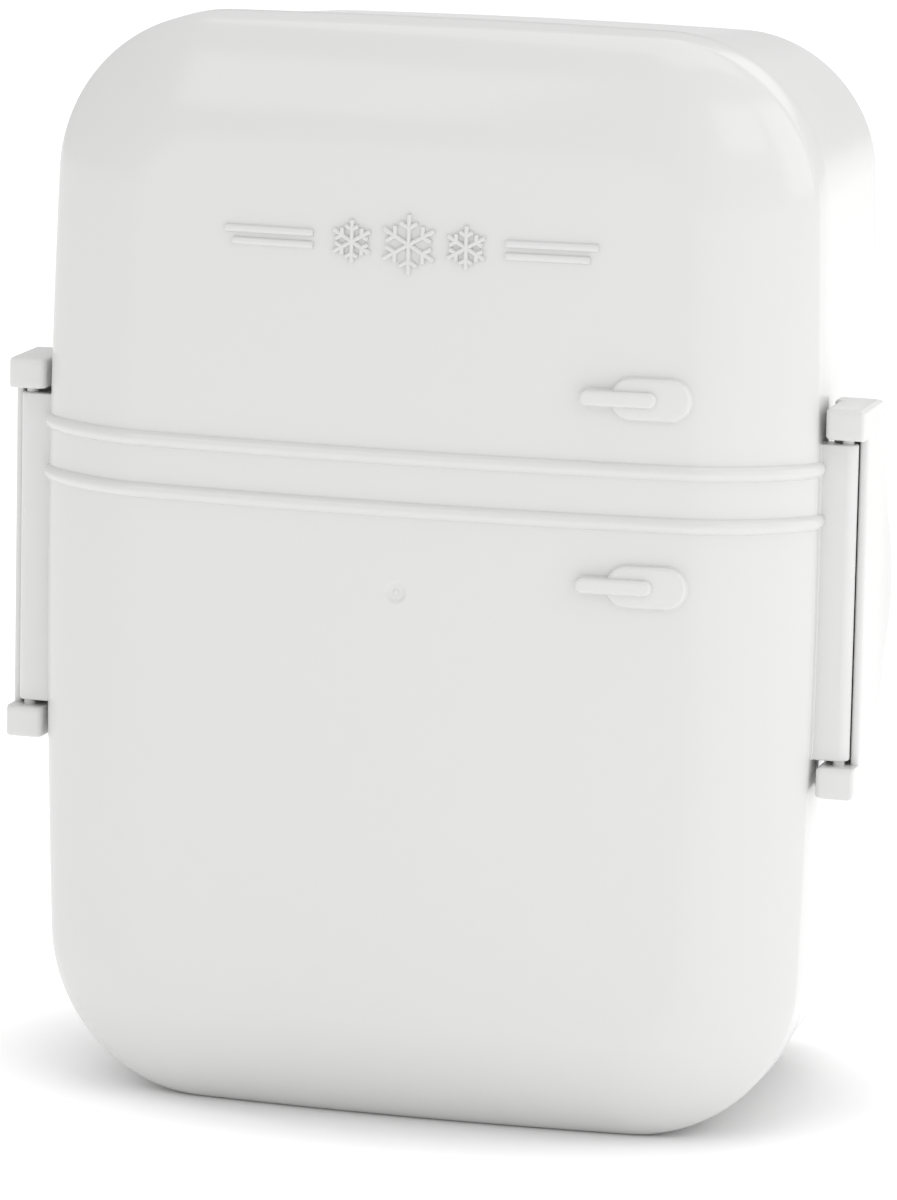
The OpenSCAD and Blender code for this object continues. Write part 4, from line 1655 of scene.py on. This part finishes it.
@dataclass
class Studio:
    """Pale floor, soft boxes, world and camera."""

    shape: BodyShape
    floor_size: float = 12.0
    camera_place: Point = (350.71, -1248.0, 334.15)
    camera_right: Point = (0.961880, 0.272711, 0.020370)
    camera_ahead: Point = (-0.264650, 0.947035, -0.181892)
    lens: float = 216.28
    sky: float = 0.55
    sky_tilt: float = 0.5
    seen_sky: float = 1.05

    def floor(self) -> None:
        """Lays the floor as part of the stage."""
        bm = bmesh.new()
        bmesh.ops.create_grid(bm, x_segments=8, y_segments=8, size=self.floor_size / 2)
        mesh = bpy.data.meshes.new("studio_floor")
        bm.to_mesh(mesh)
        bm.free()
        mesh.materials.append(StudioPaper().material())
        floor = bpy.data.objects.new("studio_floor", mesh)
        bpy.context.scene.collection.objects.link(floor)

    def soft_box(self, name: str, turn: float, rise: float, away: float, size: PlanPoint,
                 power: float) -> None:
        """Hangs one soft box, pointed at the middle of the box.

        Args:
            name: Name of the light.
            turn: Degrees that it stands to the right of the front.
            rise: Degrees that it hangs above the box's middle.
            away: Metres from the box's middle.
            size: Its width and height.
            power: Its power in watts.
        """
        target = Vector((0.0, 0.0, self.shape.mid_z * MM))
        side, up = math.radians(turn), math.radians(rise)
        flat = Vector((math.sin(side), -math.cos(side), 0.0)) * math.cos(up)
        place = target + (flat + Vector((0.0, 0.0, math.sin(up)))) * away
        lamp = bpy.data.lights.new(name, "AREA")
        lamp.shape = "RECTANGLE"
        lamp.size, lamp.size_y = size
        lamp.energy = power
        box = bpy.data.objects.new(name, lamp)
        box.location = place
        box.rotation_euler = (target - place).to_track_quat("-Z", "Y").to_euler()
        bpy.context.scene.collection.objects.link(box)

    def world(self) -> None:
        """Sets a white surround that lights less than it shows, and more from the right."""
        world = bpy.data.worlds.new("white_surround")
        bpy.context.scene.world = world
        world.use_nodes = True
        world.node_tree.nodes.clear()
        canvas = Tree(world.node_tree)
        seen = canvas.node("ShaderNodeLightPath").outputs["Is Camera Ray"]
        facing = canvas.node("ShaderNodeTexCoord").outputs["Generated"]
        right = canvas.value("ShaderNodeVectorMath", {"operation": "DOT_PRODUCT"}, {
            0: facing, 1: (1.0, 0.0, 0.0)})
        sky = self.sky * (1.0 + self.sky_tilt * right)
        level = sky + Value(canvas, seen) * (self.seen_sky - sky)
        glow = canvas.node("ShaderNodeBackground", values={"Color": (1.0, 1.0, 1.0, 1.0), "Strength": level})
        canvas.node("ShaderNodeOutputWorld", values={"Surface": glow.outputs[0]})

    def camera(self) -> None:
        """Places the camera."""
        lens = bpy.data.cameras.new("camera")
        lens.lens, lens.sensor_width = self.lens, 36.0
        lens.clip_start, lens.clip_end = 0.05, 50.0
        camera = bpy.data.objects.new("camera", lens)
        right, ahead = Vector(self.camera_right).normalized(), Vector(self.camera_ahead).normalized()
        up = right.cross(ahead)
        place = (Vector(self.camera_place) + Vector((0.0, self.shape.parting, 0.0))) * MM
        camera.matrix_world = Matrix.Translation(place) @ Matrix(
            (right, up, -ahead)).transposed().to_4x4()
        bpy.context.scene.collection.objects.link(camera)
        bpy.context.scene.camera = camera

    def build(self) -> None:
        """Sets up the whole studio."""
        self.camera()
        self.floor()
        self.world()
        self.soft_box("right_box", 85.0, 25.0, 1.4, (1.0, 1.0), 4.2)
        self.soft_box("front_box", 45.0, 32.0, 1.4, (0.5, 0.5), 1.0)
        self.soft_box("front_left_box", -28.0, 38.0, 1.5, (0.75, 0.7), 1.7)
        self.soft_box("overhead_box", 135.0, 85.0, 1.6, (1.6, 1.2), 6.2)
        self.soft_box("rear_box", 162.0, 30.0, 1.8, (1.2, 1.0), 2.0)
        bpy.context.scene.view_settings.view_transform = "Standard"


def main() -> None:
    """Builds the studio and the box."""
    logging.basicConfig(level=logging.INFO, format="%(name)s: %(message)s")
    shape = BodyShape.from_frame()
    Studio(shape).build()
    shells = RingShell(shape, ring_tool())
    ridges = ridge_tool()
    LidCover(shape, Border(), shells, ridges, MouldedPlastic("lid_plastic").material()).build()
    LidGasket(shape, shells, Silicone("silicone").material()).build()
    RearTub(shape, shells, MouldedPlastic("tub_plastic", roughness=0.2).material()).build()
    ShelfDivider(shape, FrostedPlastic("shelf_plastic").material()).build()
    clip_plastic = MouldedPlastic("clip_plastic", roughness=0.21, ripple=0.008).material()
    for side in Side:
        SideClip(side, shape, clip_plastic).build()
    bpy.context.view_layer.update()


if __name__ == "__main__":
    main()
